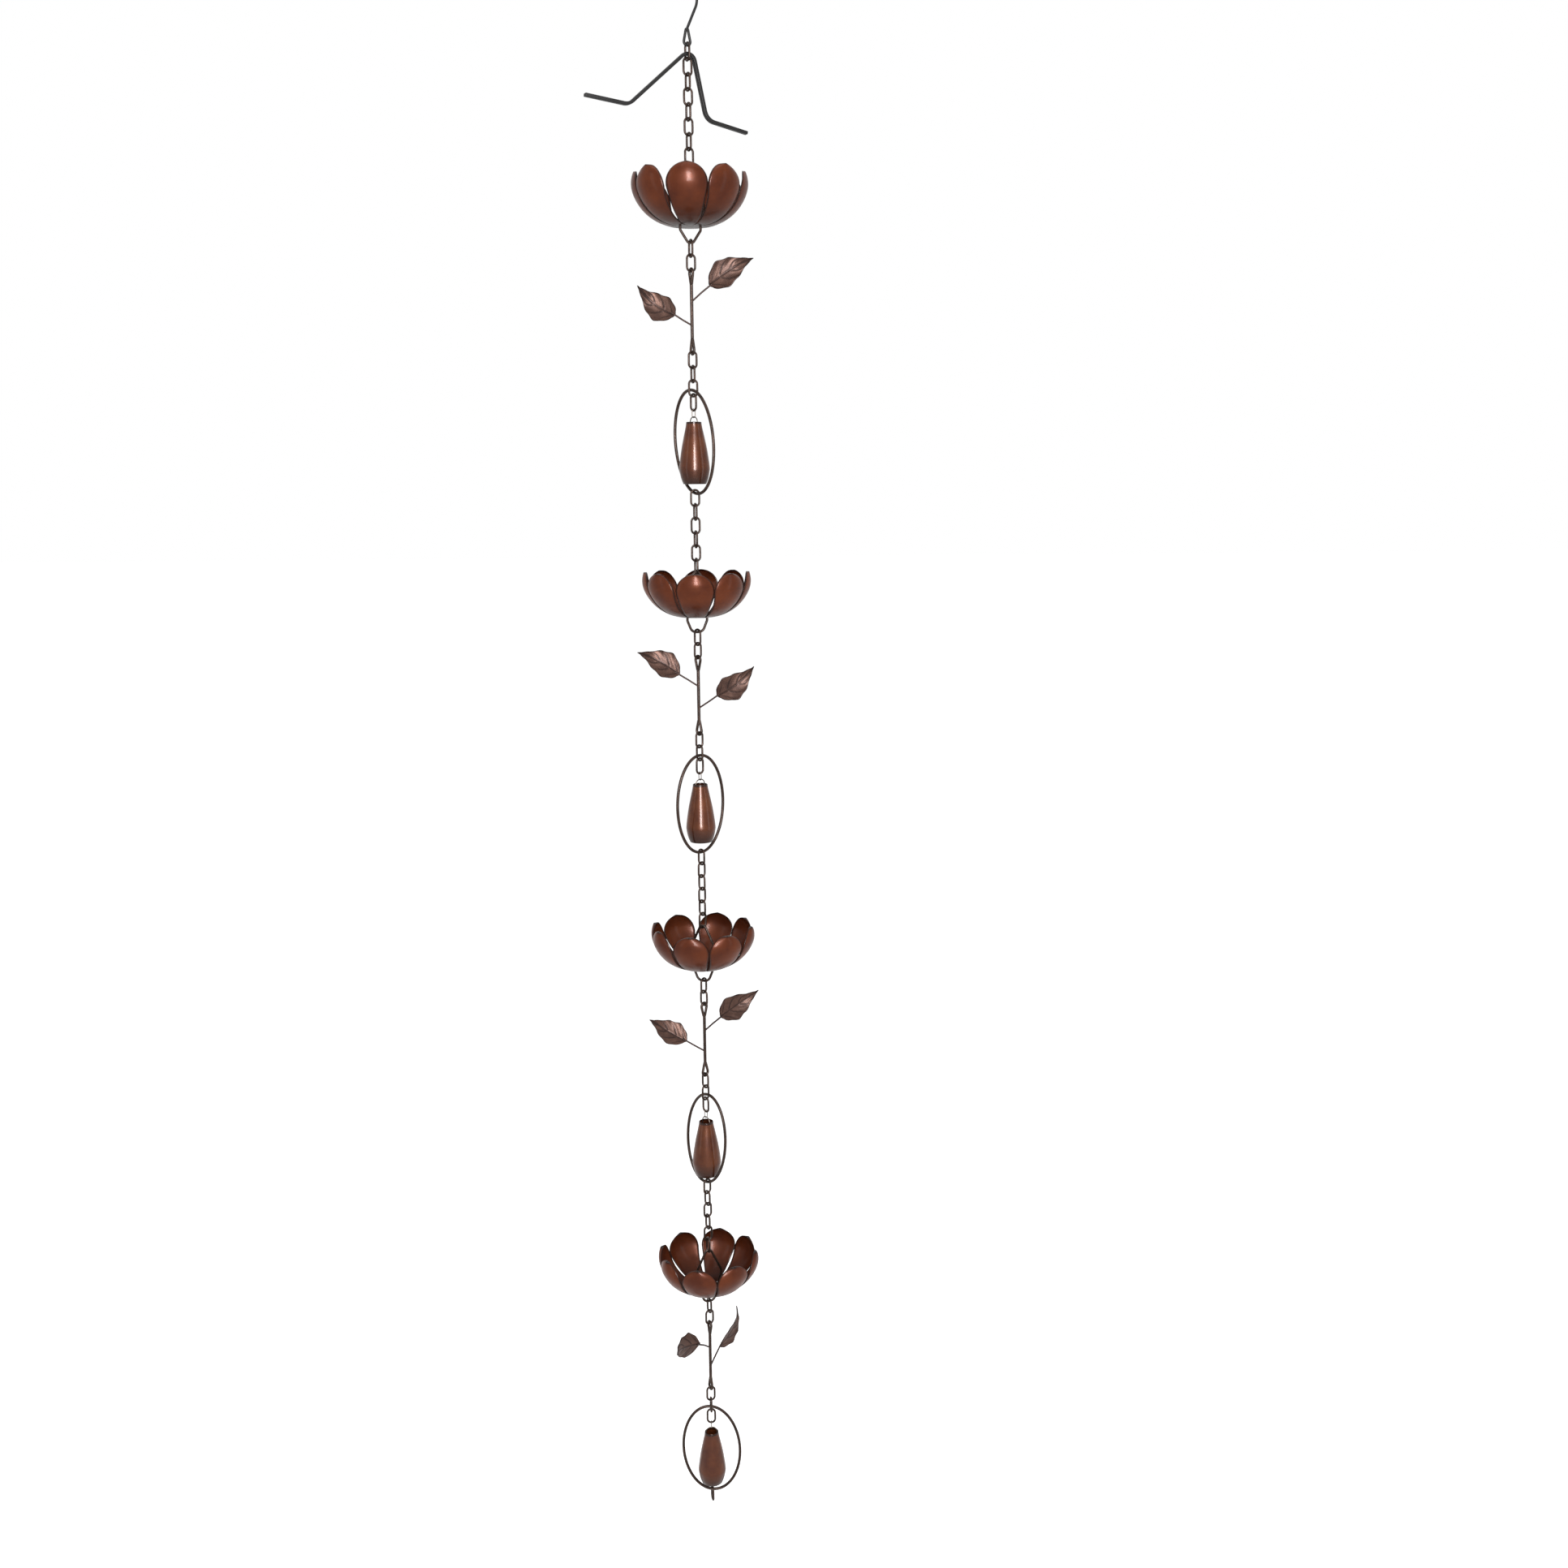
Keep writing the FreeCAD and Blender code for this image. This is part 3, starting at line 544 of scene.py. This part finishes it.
# Cup bails: closed loops of bronzed wire. A pointed arch stands over the cup's floor, the
# feet go through two holes in it, and a U below carries the next link.
BAIL_WIRE = 0.003
BAIL_RISE = 0.054
BAIL_PEAK = 0.0052
BAIL_SHOULDER = (0.017, 0.022)
BAIL_LEG = 0.012
BAIL_LEG_HALF = 0.004
BAIL_PEAK_BEND = 0.0045
BAIL_SIDE_BEND = 0.008
BAIL_LEG_BEND = 0.004
BAIL_FOOT_ROUND = 1.2
BAIL_TURNS = (20, 20, -20, 20)
BAIL_FEET = (0.0030, 0.0065, 0.0065, 0.0055)
for m in range(MODULES):
    node = "cup_bail_" + str(m + 1)
    bail_low, bail_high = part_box(node)
    top = bail_high.z - BAIL_WIRE / 2
    floor_height = bail_high.z - BAIL_RISE - top
    bail_foot = bail_low.z + BAIL_WIRE / 2 - top
    right_side = [
        Vector((BAIL_SHOULDER[0], 0, floor_height + BAIL_SHOULDER[1])),
        Vector((BAIL_LEG, 0, floor_height + BAIL_LEG_HALF)),
        Vector((BAIL_LEG, 0, floor_height - BAIL_LEG_HALF)),
        Vector((BAIL_FEET[m], 0, bail_foot)),
    ]
    left_side = [Vector((-p.x, 0, p.z)) for p in reversed(right_side)]
    side_bends = [BAIL_SIDE_BEND, BAIL_SIDE_BEND, BAIL_LEG_BEND, BAIL_FEET[m] * BAIL_FOOT_ROUND]
    bail_bends = [BAIL_PEAK_BEND] + side_bends + side_bends[::-1]
    bail = rounded([Vector((0, 0, BAIL_PEAK))] + right_side + left_side, bail_bends, closed=True)
    bail_mesh = wire_mesh(node, [(hung(bail, top, BAIL_TURNS[m]), BAIL_WIRE)], True)
    mesh_piece(node + "_wire", bail_mesh, bronzed_wire, "cup_" + str(m + 1), node)

# Stems: straight bronzed rods with a teardrop eye forged at each end. The upper eye hangs in
# a link and the lower eye carries the next links.
STEM_WIRE = 0.0032
STEM_ROD = 0.0038
STEM_EYE_HALF = 0.0050
STEM_EYE = 0.0168
STEM_EYE_FLARE = 1.12
STEM_NECK_HALF = 0.0010
STEM_NECK_BEND = 0.0009
ROD_LAP = 0.002
STEM_TURNS = (-60, -45, 45, -60)
stem_eye_wide = STEM_EYE_HALF * STEM_EYE_FLARE
stem_eye_bend = STEM_EYE_HALF * EYE_ROUND
stem_eye_corners = [
    Vector((-stem_eye_wide, 0, 0)),
    Vector((stem_eye_wide, 0, 0)),
    Vector((STEM_NECK_HALF, 0, -STEM_EYE)),
    Vector((-STEM_NECK_HALF, 0, -STEM_EYE)),
]
stem_eye_bends = [stem_eye_bend, stem_eye_bend, STEM_NECK_BEND, STEM_NECK_BEND]
upper_eye = rounded(stem_eye_corners, stem_eye_bends, EYE_STEPS, True)
for m in range(MODULES):
    node = "stem_" + str(m + 1)
    stem_low, stem_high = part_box(node)
    top = stem_high.z - STEM_WIRE / 2
    reach = stem_high.z - stem_low.z - STEM_WIRE
    lower_eye = [Vector((p.x, 0, -reach - p.z)) for p in upper_eye]
    eyes = [(hung(eye, top, STEM_TURNS[m]), STEM_WIRE) for eye in (upper_eye, lower_eye)]
    rod = [Vector((0, 0, ROD_LAP - STEM_EYE)), Vector((0, 0, STEM_EYE - ROD_LAP - reach))]
    rod_mesh = wire_mesh(node + "_rod", [(hung(rod, top, 0), STEM_ROD)], False)
    stem_mesh = joined(node + "_wire", [wire_mesh(node + "_eyes", eyes, True), rod_mesh])
    mesh_piece(node + "_wire", stem_mesh, bronzed_wire, node, node)

# Leaves: stamped copper-plated sheet with pressed veins, folded a little along the midrib
# and brazed to a thin wire stalk that is brazed to the stem.
LEAF_HALF = 0.0150
LEAF_ROWS = 56
LEAF_COLUMNS = 28
LEAF_END = 0.004
LEAF_FULLNESS = 0.72
LEAF_BREADTH = 1.06
LEAF_TAPER = 0.45
LEAF_CUP = 0.0030
LEAF_ARCH = 0.004
LEAF_QUILT = 0.0012
TIP_FALL = 0.006
TIP_FROM = 0.6
MARGIN_WAVE = 0.045
MARGIN_WAVES = 3.5
MARGIN_PHASE = 0.6
VEINS = 4
VEIN_SLANT = 0.34
VEIN_PHASE = 0.35
VEIN_WIDTH = 0.34
VEIN_CONTRAST = 1.7
VEIN_PRESS = 0.0006
VEIN_FROM = 0.10
VEIN_TO = 0.93
MIDRIB_HALF = 0.0013
STALK_WIRE = 0.0020
STALK_START = 0.0017
STALK_KNEE = 0.55
STALK_LAP = 0.006
WELD_REACH = 0.00002
STALK_SHADE = 0.8
UPPER_LEAF_DROP = 0.036
LOWER_LEAF_DROP = 0.062
RIGHT_LEAF_UP = (True, False, True, False)
LEAF_TURNS = (0, 0, 0, 57)
# Each row: stalk's length and rise in degrees, leaf's length, rise, bend and twist.
RIGHT_LEAVES = (
    (0.0270, 41, 0.058, 31, 0.002, 0),
    (0.0265, 33, 0.055, 38, -0.003, 0),
    (0.0270, 42, 0.056, 34, 0.002, 0),
    (0.0270, 40, 0.058, 33, 0.0, 11),
)
LEFT_LEAVES = (
    (0.0225, 30, 0.052, 38, -0.004, 0),
    (0.0265, 33, 0.055, 29, 0.002, 0),
    (0.0260, 30, 0.053, 34, -0.003, 0),
    (0.0270, 36, 0.056, 13, 0.0, 0),
)

# Dulled copper plating: a greyish brown with a soft shine, dark in the pressed veins and
# along the margin.
leaf_copper, tree, shader, place = new_finish("leaf_copper", metallic=0.35, shine=0.2, roughness=0.4)
vein = add(tree, "ShaderNodeAttribute", attribute_name="vein").outputs["Fac"]
clouded = patches(tree, place, millimetres=10.0)
leaf_browns = {BLEND_SHARE: clouded, BLEND_FIRST: linear("#3f2a23"), BLEND_SECOND: linear("#5c4238")}
leaf_brown = add(tree, "ShaderNodeMix", leaf_browns, data_type="RGBA").outputs[BLEND_COLOUR]
towards_vein = {BLEND_SHARE: vein, BLEND_FIRST: leaf_brown, BLEND_SECOND: linear("#231310")}
veined_brown = add(tree, "ShaderNodeMix", towards_vein, data_type="RGBA").outputs[BLEND_COLOUR]
tree.links.new(veined_brown, shader.inputs["Base Color"])
grain(tree, shader, place, millimetres=6.0, strength=0.08, depth=0.0005)


def leaf_half_width(share):
    """Half width of the leaf at a share of its length: full near the base, drawn out to a point."""
    swell = math.sin(math.pi * share ** LEAF_FULLNESS)
    return LEAF_HALF * swell * (LEAF_BREADTH - LEAF_TAPER * share * share)


def rising(degrees):
    """Direction to the right that rises by an angle."""
    return Vector((math.cos(math.radians(degrees)), 0, math.sin(math.radians(degrees))))


def leaf_mesh(name, height, turn, stalk_length, stalk_rise, length, leaf_rise, bend, twist):
    """Veined leaf with its stalk, turned about the stem and hung at a height, its blade bent and twisted."""
    stalk_way = rising(stalk_rise)
    base = stalk_way * stalk_length
    along = rising(leaf_rise)
    twisted = Matrix.Rotation(math.radians(twist), 3, along)
    wide = twisted @ Vector((-along.z, 0, along.x))
    front = twisted @ Vector((0, -1, 0))
    blade = bmesh.new()
    vein_mark = blade.verts.layers.float.new("vein")
    lines = []
    for row in range(LEAF_ROWS + 1):
        share = row / LEAF_ROWS
        half = leaf_half_width(min(max(share, LEAF_END), 1 - LEAF_END))
        half *= 1 + MARGIN_WAVE * math.sin(2 * math.pi * MARGIN_WAVES * share + MARGIN_PHASE)
        fall = TIP_FALL * (max(0.0, share - TIP_FROM) / (1 - TIP_FROM)) ** 2
        sweep = LEAF_ARCH * math.sin(math.pi * share) - fall
        line = []
        for column in range(LEAF_COLUMNS + 1):
            across = 2 * column / LEAF_COLUMNS - 1
            out = abs(across)
            ribs = abs(math.sin(math.pi * VEINS * (share - VEIN_SLANT * out) + VEIN_PHASE))
            groove = 0.0
            if out > VEIN_FROM and share < VEIN_TO:
                groove = min(1.0, VEIN_CONTRAST * max(0.0, 1 - ribs / VEIN_WIDTH))
            midrib = max(0.0, 1 - out * half / MIDRIB_HALF)
            mark = max(groove * (1 - out ** 4), midrib)
            edge = max(0.0, 1 - (1 - out) * half / MIDRIB_HALF)
            lift = LEAF_CUP * out * out * half / LEAF_HALF + LEAF_QUILT * (1 - ribs) * out - VEIN_PRESS * mark
            rise = across * half + bend * 4 * share * (1 - share)
            vert = blade.verts.new(base + along * (share * length) + wide * rise + front * (lift + sweep))
            vert[vein_mark] = min(1.0, max(mark, edge))
            line.append(vert)
        lines.append(line)
    skin(blade, lines)
    bmesh.ops.remove_doubles(blade, verts=blade.verts, dist=WELD_REACH)
    stalk_path = [stalk_way * STALK_START, base * STALK_KNEE, base + along * STALK_LAP]
    stalk = wire_mesh(name + "_stalk", [(stalk_path, STALK_WIRE)], False)
    stalk_mark = stalk.attributes.new("vein", "FLOAT", "POINT")
    stalk_mark.data.foreach_set("value", [STALK_SHADE] * len(stalk.vertices))
    whole = joined(name, [sheet_mesh(name, blade), stalk])
    whole.transform(Matrix.Translation((0, 0, height)) @ Matrix.Rotation(math.radians(turn), 4, "Z"))
    return whole


for m in range(MODULES):
    number = str(m + 1)
    stem_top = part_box("stem_" + number)[1].z - STEM_WIRE / 2
    right_drop, left_drop = UPPER_LEAF_DROP, LOWER_LEAF_DROP
    if not RIGHT_LEAF_UP[m]:
        right_drop, left_drop = left_drop, right_drop
    sides = (
        ("right", right_drop, LEAF_TURNS[m], RIGHT_LEAVES[m]),
        ("left", left_drop, LEAF_TURNS[m] + 2 * QUARTER_TURN, LEFT_LEAVES[m]),
    )
    for side, drop, leaf_turn, shape in sides:
        node = "leaf_" + side + "_" + number
        veined = leaf_mesh(node + "_blade", stem_top - drop, leaf_turn, *shape)
        mesh_piece(node + "_blade", veined, leaf_copper, "stem_" + number, node)

# Hoops: oval rings of bronzed wire, butted and brazed. Each hangs in the last of the lower
# links and leans a little in its own plane.
HOOP_WIRE = 0.0036
HOOP_HALF_WIDTH = 0.0359
HOOP_HALF_LENGTH = 0.0589
HOOP_STEPS = 96
HOOP_LEANS = (9, 0, -9, 6)
hoop_angles = [2 * math.pi * i / HOOP_STEPS for i in range(HOOP_STEPS)]
for m in range(MODULES):
    node = "hoop_" + str(m + 1)
    hoop_low, hoop_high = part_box(node)
    middle = (hoop_low.z + hoop_high.z) / 2
    lean = Matrix.Rotation(math.radians(-HOOP_LEANS[m]), 4, "Y")
    oval = [Vector((HOOP_HALF_WIDTH * math.cos(a), 0, HOOP_HALF_LENGTH * math.sin(a))) for a in hoop_angles]
    leaning = [lean @ p for p in oval]
    hoop_mesh = wire_mesh(node, [(hung(leaning, middle, HOOP_TURNS[m]), HOOP_WIRE)], True)
    mesh_piece(node + "_wire", hoop_mesh, bronzed_wire, node, node)

# Drops: hollow copper-plated drops, spun from sheet, with a flat base and a thin plain neck
# that stays open. Each hangs free in its hoop.
DROP_OUTLINE = (
    (0.0, 0.0), (0.0118, 0.0), (0.0136, 0.0012), (0.0158, 0.0070), (0.0174, 0.0150), (0.0175, 0.0195),
    (0.0164, 0.0290), (0.0143, 0.0420), (0.0118, 0.0540), (0.0096, 0.0640), (0.0089, 0.0682),
    (0.0088, 0.0694), (0.0086, 0.0700), (0.0081, 0.0700), (0.0078, 0.0692), (0.0077, 0.0600),
)
OUTLINE_STEPS = 4
DROP_SIDES = 48
DROP_NECK_EDGE = 0.0678
DROP_SHADE_REACH = 0.020

# Copper plating on spun sheet, well lacquered: a warm brown with one white streak down the side, and
# painted shade darkening it towards the base and round the neck's edge.
spun_copper, tree, shader, place = new_finish("spun_copper", metallic=0.14, shine=0.08, lacquer=0.35)
# Painted shade: the 'low' mark darkens the copper at the base and round the open neck.
painted_end_shade = add(tree, "ShaderNodeAttribute", attribute_name="low").outputs["Fac"]
clouded = patches(tree, place, millimetres=18.0)
spun_browns = {BLEND_SHARE: clouded, BLEND_FIRST: linear("#4e2310"), BLEND_SECOND: linear("#67361a")}
spun_brown = add(tree, "ShaderNodeMix", spun_browns, data_type="RGBA").outputs[BLEND_COLOUR]
painted_shade_at_ends = {BLEND_SHARE: painted_end_shade, BLEND_FIRST: spun_brown, BLEND_SECOND: linear("#2b1207")}
spun_with_painted_shade = add(tree, "ShaderNodeMix", painted_shade_at_ends, data_type="RGBA").outputs[BLEND_COLOUR]
tree.links.new(spun_with_painted_shade, shader.inputs["Base Color"])
rubbed = patches(tree, place, millimetres=14.0, low=0.30, high=0.42)
tree.links.new(rubbed, shader.inputs["Roughness"])


def smooth_outline(points, steps):
    """Smooth curve through outline points."""
    line = []
    for i in range(len(points) - 1):
        p0 = Vector(points[max(i - 1, 0)])
        p1 = Vector(points[i])
        p2 = Vector(points[i + 1])
        p3 = Vector(points[min(i + 2, len(points) - 1)])
        for k in range(steps):
            t = k / steps
            a = 2 * p1 + (p2 - p0) * t + (2 * p0 - 5 * p1 + 4 * p2 - p3) * t ** 2
            line.append((a + (3 * p1 - p0 - 3 * p2 + p3) * t ** 3) / 2)
    line.append(Vector(points[-1]))
    return line


drop_outline = smooth_outline(DROP_OUTLINE, OUTLINE_STEPS)
for m in range(MODULES):
    node = "drop_" + str(m + 1)
    base_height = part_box(node)[0].z
    body = bmesh.new()
    # The 'low' layer holds painted shade for the base and the open neck.
    painted_shade_mark = body.verts.layers.float.new("low")
    drop_rings = []
    for point in drop_outline[1:]:
        drop_ring = []
        for k in range(DROP_SIDES):
            angle = 2 * math.pi * k / DROP_SIDES
            spot = (point.x * math.cos(angle), point.x * math.sin(angle), base_height + point.y)
            vert = body.verts.new(spot)
            # Painted shade: full round the neck's edge and down inside it, fading up from the base.
            vert[painted_shade_mark] = 1.0 if point.y > DROP_NECK_EDGE else max(0.0, 1 - point.y / DROP_SHADE_REACH)
            drop_ring.append(vert)
        drop_rings.append(drop_ring)
    skin(body, [drop_ring + drop_ring[:1] for drop_ring in drop_rings])
    body.faces.new(drop_rings[0][::-1])
    body.faces.new(drop_rings[-1])
    bmesh.ops.recalc_face_normals(body, faces=body.faces)
    drop_mesh = bpy.data.meshes.new(node + "_spun")
    body.to_mesh(drop_mesh)
    body.free()
    mesh_piece(node + "_spun", drop_mesh, spun_copper, node, node)

# Drop ties and arches: fine tinned wire. The arch stands in the drop's neck, and a closed
# loop ties it to the drop's link.
TIE_WIRE = 0.0009
TIE_HALF = 0.00215
ARCH_WIRE = 0.0012
ARCH_HALF = 0.0068
ARCH_LEG = 0.005
HALF_TURN_STEPS = 10

# Bare tinned wire: grey metal with a soft shine, a little dull in places.
tinned_wire, tree, shader, place = new_finish("tinned_wire", metallic=0.9, shine=0.5, roughness=0.35)
dulled = patches(tree, place, millimetres=3.0)
greys = {BLEND_SHARE: dulled, BLEND_FIRST: linear("#4a423c"), BLEND_SECOND: linear("#6e645b")}
grey = add(tree, "ShaderNodeMix", greys, data_type="RGBA").outputs[BLEND_COLOUR]
tree.links.new(grey, shader.inputs["Base Color"])

half_turn = [math.pi * i / HALF_TURN_STEPS for i in range(HALF_TURN_STEPS + 1)]
for m in range(MODULES):
    number = str(m + 1)
    body = "drop_" + number
    node = "drop_tie_" + number
    tie_low, tie_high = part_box(node)
    upper_centre = tie_high.z - TIE_WIRE / 2 - TIE_HALF
    lower_centre = tie_low.z + TIE_WIRE / 2 + TIE_HALF
    tie_bow = [TIE_HALF * Vector((math.cos(a), 0, math.sin(a))) for a in half_turn]
    tie = [Vector((0, 0, upper_centre)) + p for p in tie_bow]
    tie += [Vector((0, 0, lower_centre)) - p for p in tie_bow]
    tie_mesh = wire_mesh(node, [(hung(tie, 0, HOOP_TURNS[m] + QUARTER_TURN), TIE_WIRE)], True)
    mesh_piece(node + "_loop", tie_mesh, tinned_wire, body, node)
    node = "drop_arch_" + number
    arch_low, arch_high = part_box(node)
    neck = arch_low.z + ARCH_LEG
    crown_rise = arch_high.z - ARCH_WIRE / 2 - neck
    crown = [Vector((ARCH_HALF * math.cos(a), 0, neck + crown_rise * math.sin(a))) for a in half_turn]
    arch = [Vector((ARCH_HALF, 0, arch_low.z))] + crown + [Vector((-ARCH_HALF, 0, arch_low.z))]
    arch_mesh = wire_mesh(node, [(hung(arch, 0, HOOP_TURNS[m]), ARCH_WIRE)], False)
    mesh_piece(node + "_wire", arch_mesh, tinned_wire, body, node)

# Studio: a pale floor under the hanging chain and white all round for the camera and for
# reflections. One large soft lamp stands in front with a strip on each side and a lamp
# above, and a narrow lamp in front makes only the white streaks on the lacquer.
FLOOR_DROP = 0.06
FLOOR_HALF = 30.0
FLOOR_GLOW_LIT = 0.10
FLOOR_GLOW_SEEN = 0.74
AIR_GLOW_LIT = 0.32
AIR_GLOW_SEEN = 1.0
STREAK_LAMP = "front_streak"
# Each row: name, width, height, power and place.
LAMPS = (
    ("front_lamp", 0.9, 2.2, 26, (0.5, -2.3, -0.1)),
    (STREAK_LAMP, 0.50, 1.5, 112, (0.18, -2.25, -0.35)),
    ("left_strip", 0.35, 2.4, 5, (-1.8, -1.0, -0.5)),
    ("right_strip", 0.35, 2.4, 6, (1.9, -0.7, -0.6)),
    ("top_lamp", 1.6, 1.6, 18, (0.0, -0.6, 1.3)),
)


def glow(tree, lit, seen):
    """Strength of a glow: one value for light that falls on the chain, another as seen or mirrored."""
    rays = add(tree, "ShaderNodeLightPath").outputs
    sight = {0: rays["Is Camera Ray"], 1: rays["Is Glossy Ray"]}
    either = add(tree, "ShaderNodeMath", sight, operation="MAXIMUM").outputs[0]
    return add(tree, "ShaderNodeMapRange", {"Value": either, "To Min": lit, "To Max": seen}).outputs["Result"]


floor_plane = bmesh.new()
bmesh.ops.create_grid(floor_plane, x_segments=1, y_segments=1, size=FLOOR_HALF)
floor_mesh = bpy.data.meshes.new("studio_floor")
floor_plane.to_mesh(floor_mesh)
floor_plane.free()
floor_mesh.transform(Matrix.Translation((0, 0, cad_low[2] - FLOOR_DROP)))
studio_floor = bpy.data.objects.new("studio_floor", floor_mesh)
scene.collection.objects.link(studio_floor)
white_paper = bpy.data.materials.new("white_paper")
white_paper.use_nodes = True
paper = white_paper.node_tree.nodes["Principled BSDF"]
paper.inputs["Base Color"].default_value = linear("#f4f4f4")
paper.inputs["Roughness"].default_value = 0.9
paper.inputs["Specular IOR Level"].default_value = 0.0
paper.inputs["Emission Color"].default_value = linear("#ffffff")
floor_glow = glow(white_paper.node_tree, FLOOR_GLOW_LIT, FLOOR_GLOW_SEEN)
white_paper.node_tree.links.new(floor_glow, paper.inputs["Emission Strength"])
floor_mesh.materials.append(white_paper)

world = bpy.data.worlds.new("studio_white")
scene.world = world
world.use_nodes = True
air = world.node_tree.nodes["Background"]
air.inputs["Color"].default_value = linear("#ffffff")
air_glow = glow(world.node_tree, AIR_GLOW_LIT, AIR_GLOW_SEEN)
world.node_tree.links.new(air_glow, air.inputs["Strength"])

chain_middle = Vector((0, 0, (cad_low[2] + cad_high[2]) / 2))
for name, width, height, power, spot in LAMPS:
    lamp = bpy.data.lights.new(name, "AREA")
    lamp.shape = "RECTANGLE"
    lamp.size = width
    lamp.size_y = height
    lamp.energy = power
    lamp_object = bpy.data.objects.new(name, lamp)
    scene.collection.objects.link(lamp_object)
    lamp_object.location = spot
    lamp_object.rotation_euler = (chain_middle - Vector(spot)).to_track_quat("-Z", "Y").to_euler()
    lamp_object.visible_diffuse = name != STREAK_LAMP

# Camera: a little to the right of the chain, above its middle and tipped down, with a slight
# roll and a normal field of view.
CAMERA_AWAY = 1.905
CAMERA_RIGHT = 0.100
CAMERA_HEIGHT = -0.569
CAMERA_TIP = math.radians(10.4)
CAMERA_ROLL = math.radians(-0.47)
FOCAL_PIXELS = 2000
IMAGE_PIXELS = 1932
SENSOR_MILLIMETRES = 36
photo_camera = bpy.data.cameras.new("photo_camera")
photo_camera.sensor_width = SENSOR_MILLIMETRES
photo_camera.lens = SENSOR_MILLIMETRES * FOCAL_PIXELS / IMAGE_PIXELS
camera_object = bpy.data.objects.new("photo_camera", photo_camera)
scene.collection.objects.link(camera_object)
camera_turn = Matrix.Rotation(math.pi / 2 - CAMERA_TIP, 4, "X") @ Matrix.Rotation(CAMERA_ROLL, 4, "Z")
camera_object.matrix_world = Matrix.Translation((CAMERA_RIGHT, -CAMERA_AWAY, CAMERA_HEIGHT)) @ camera_turn
scene.camera = camera_object
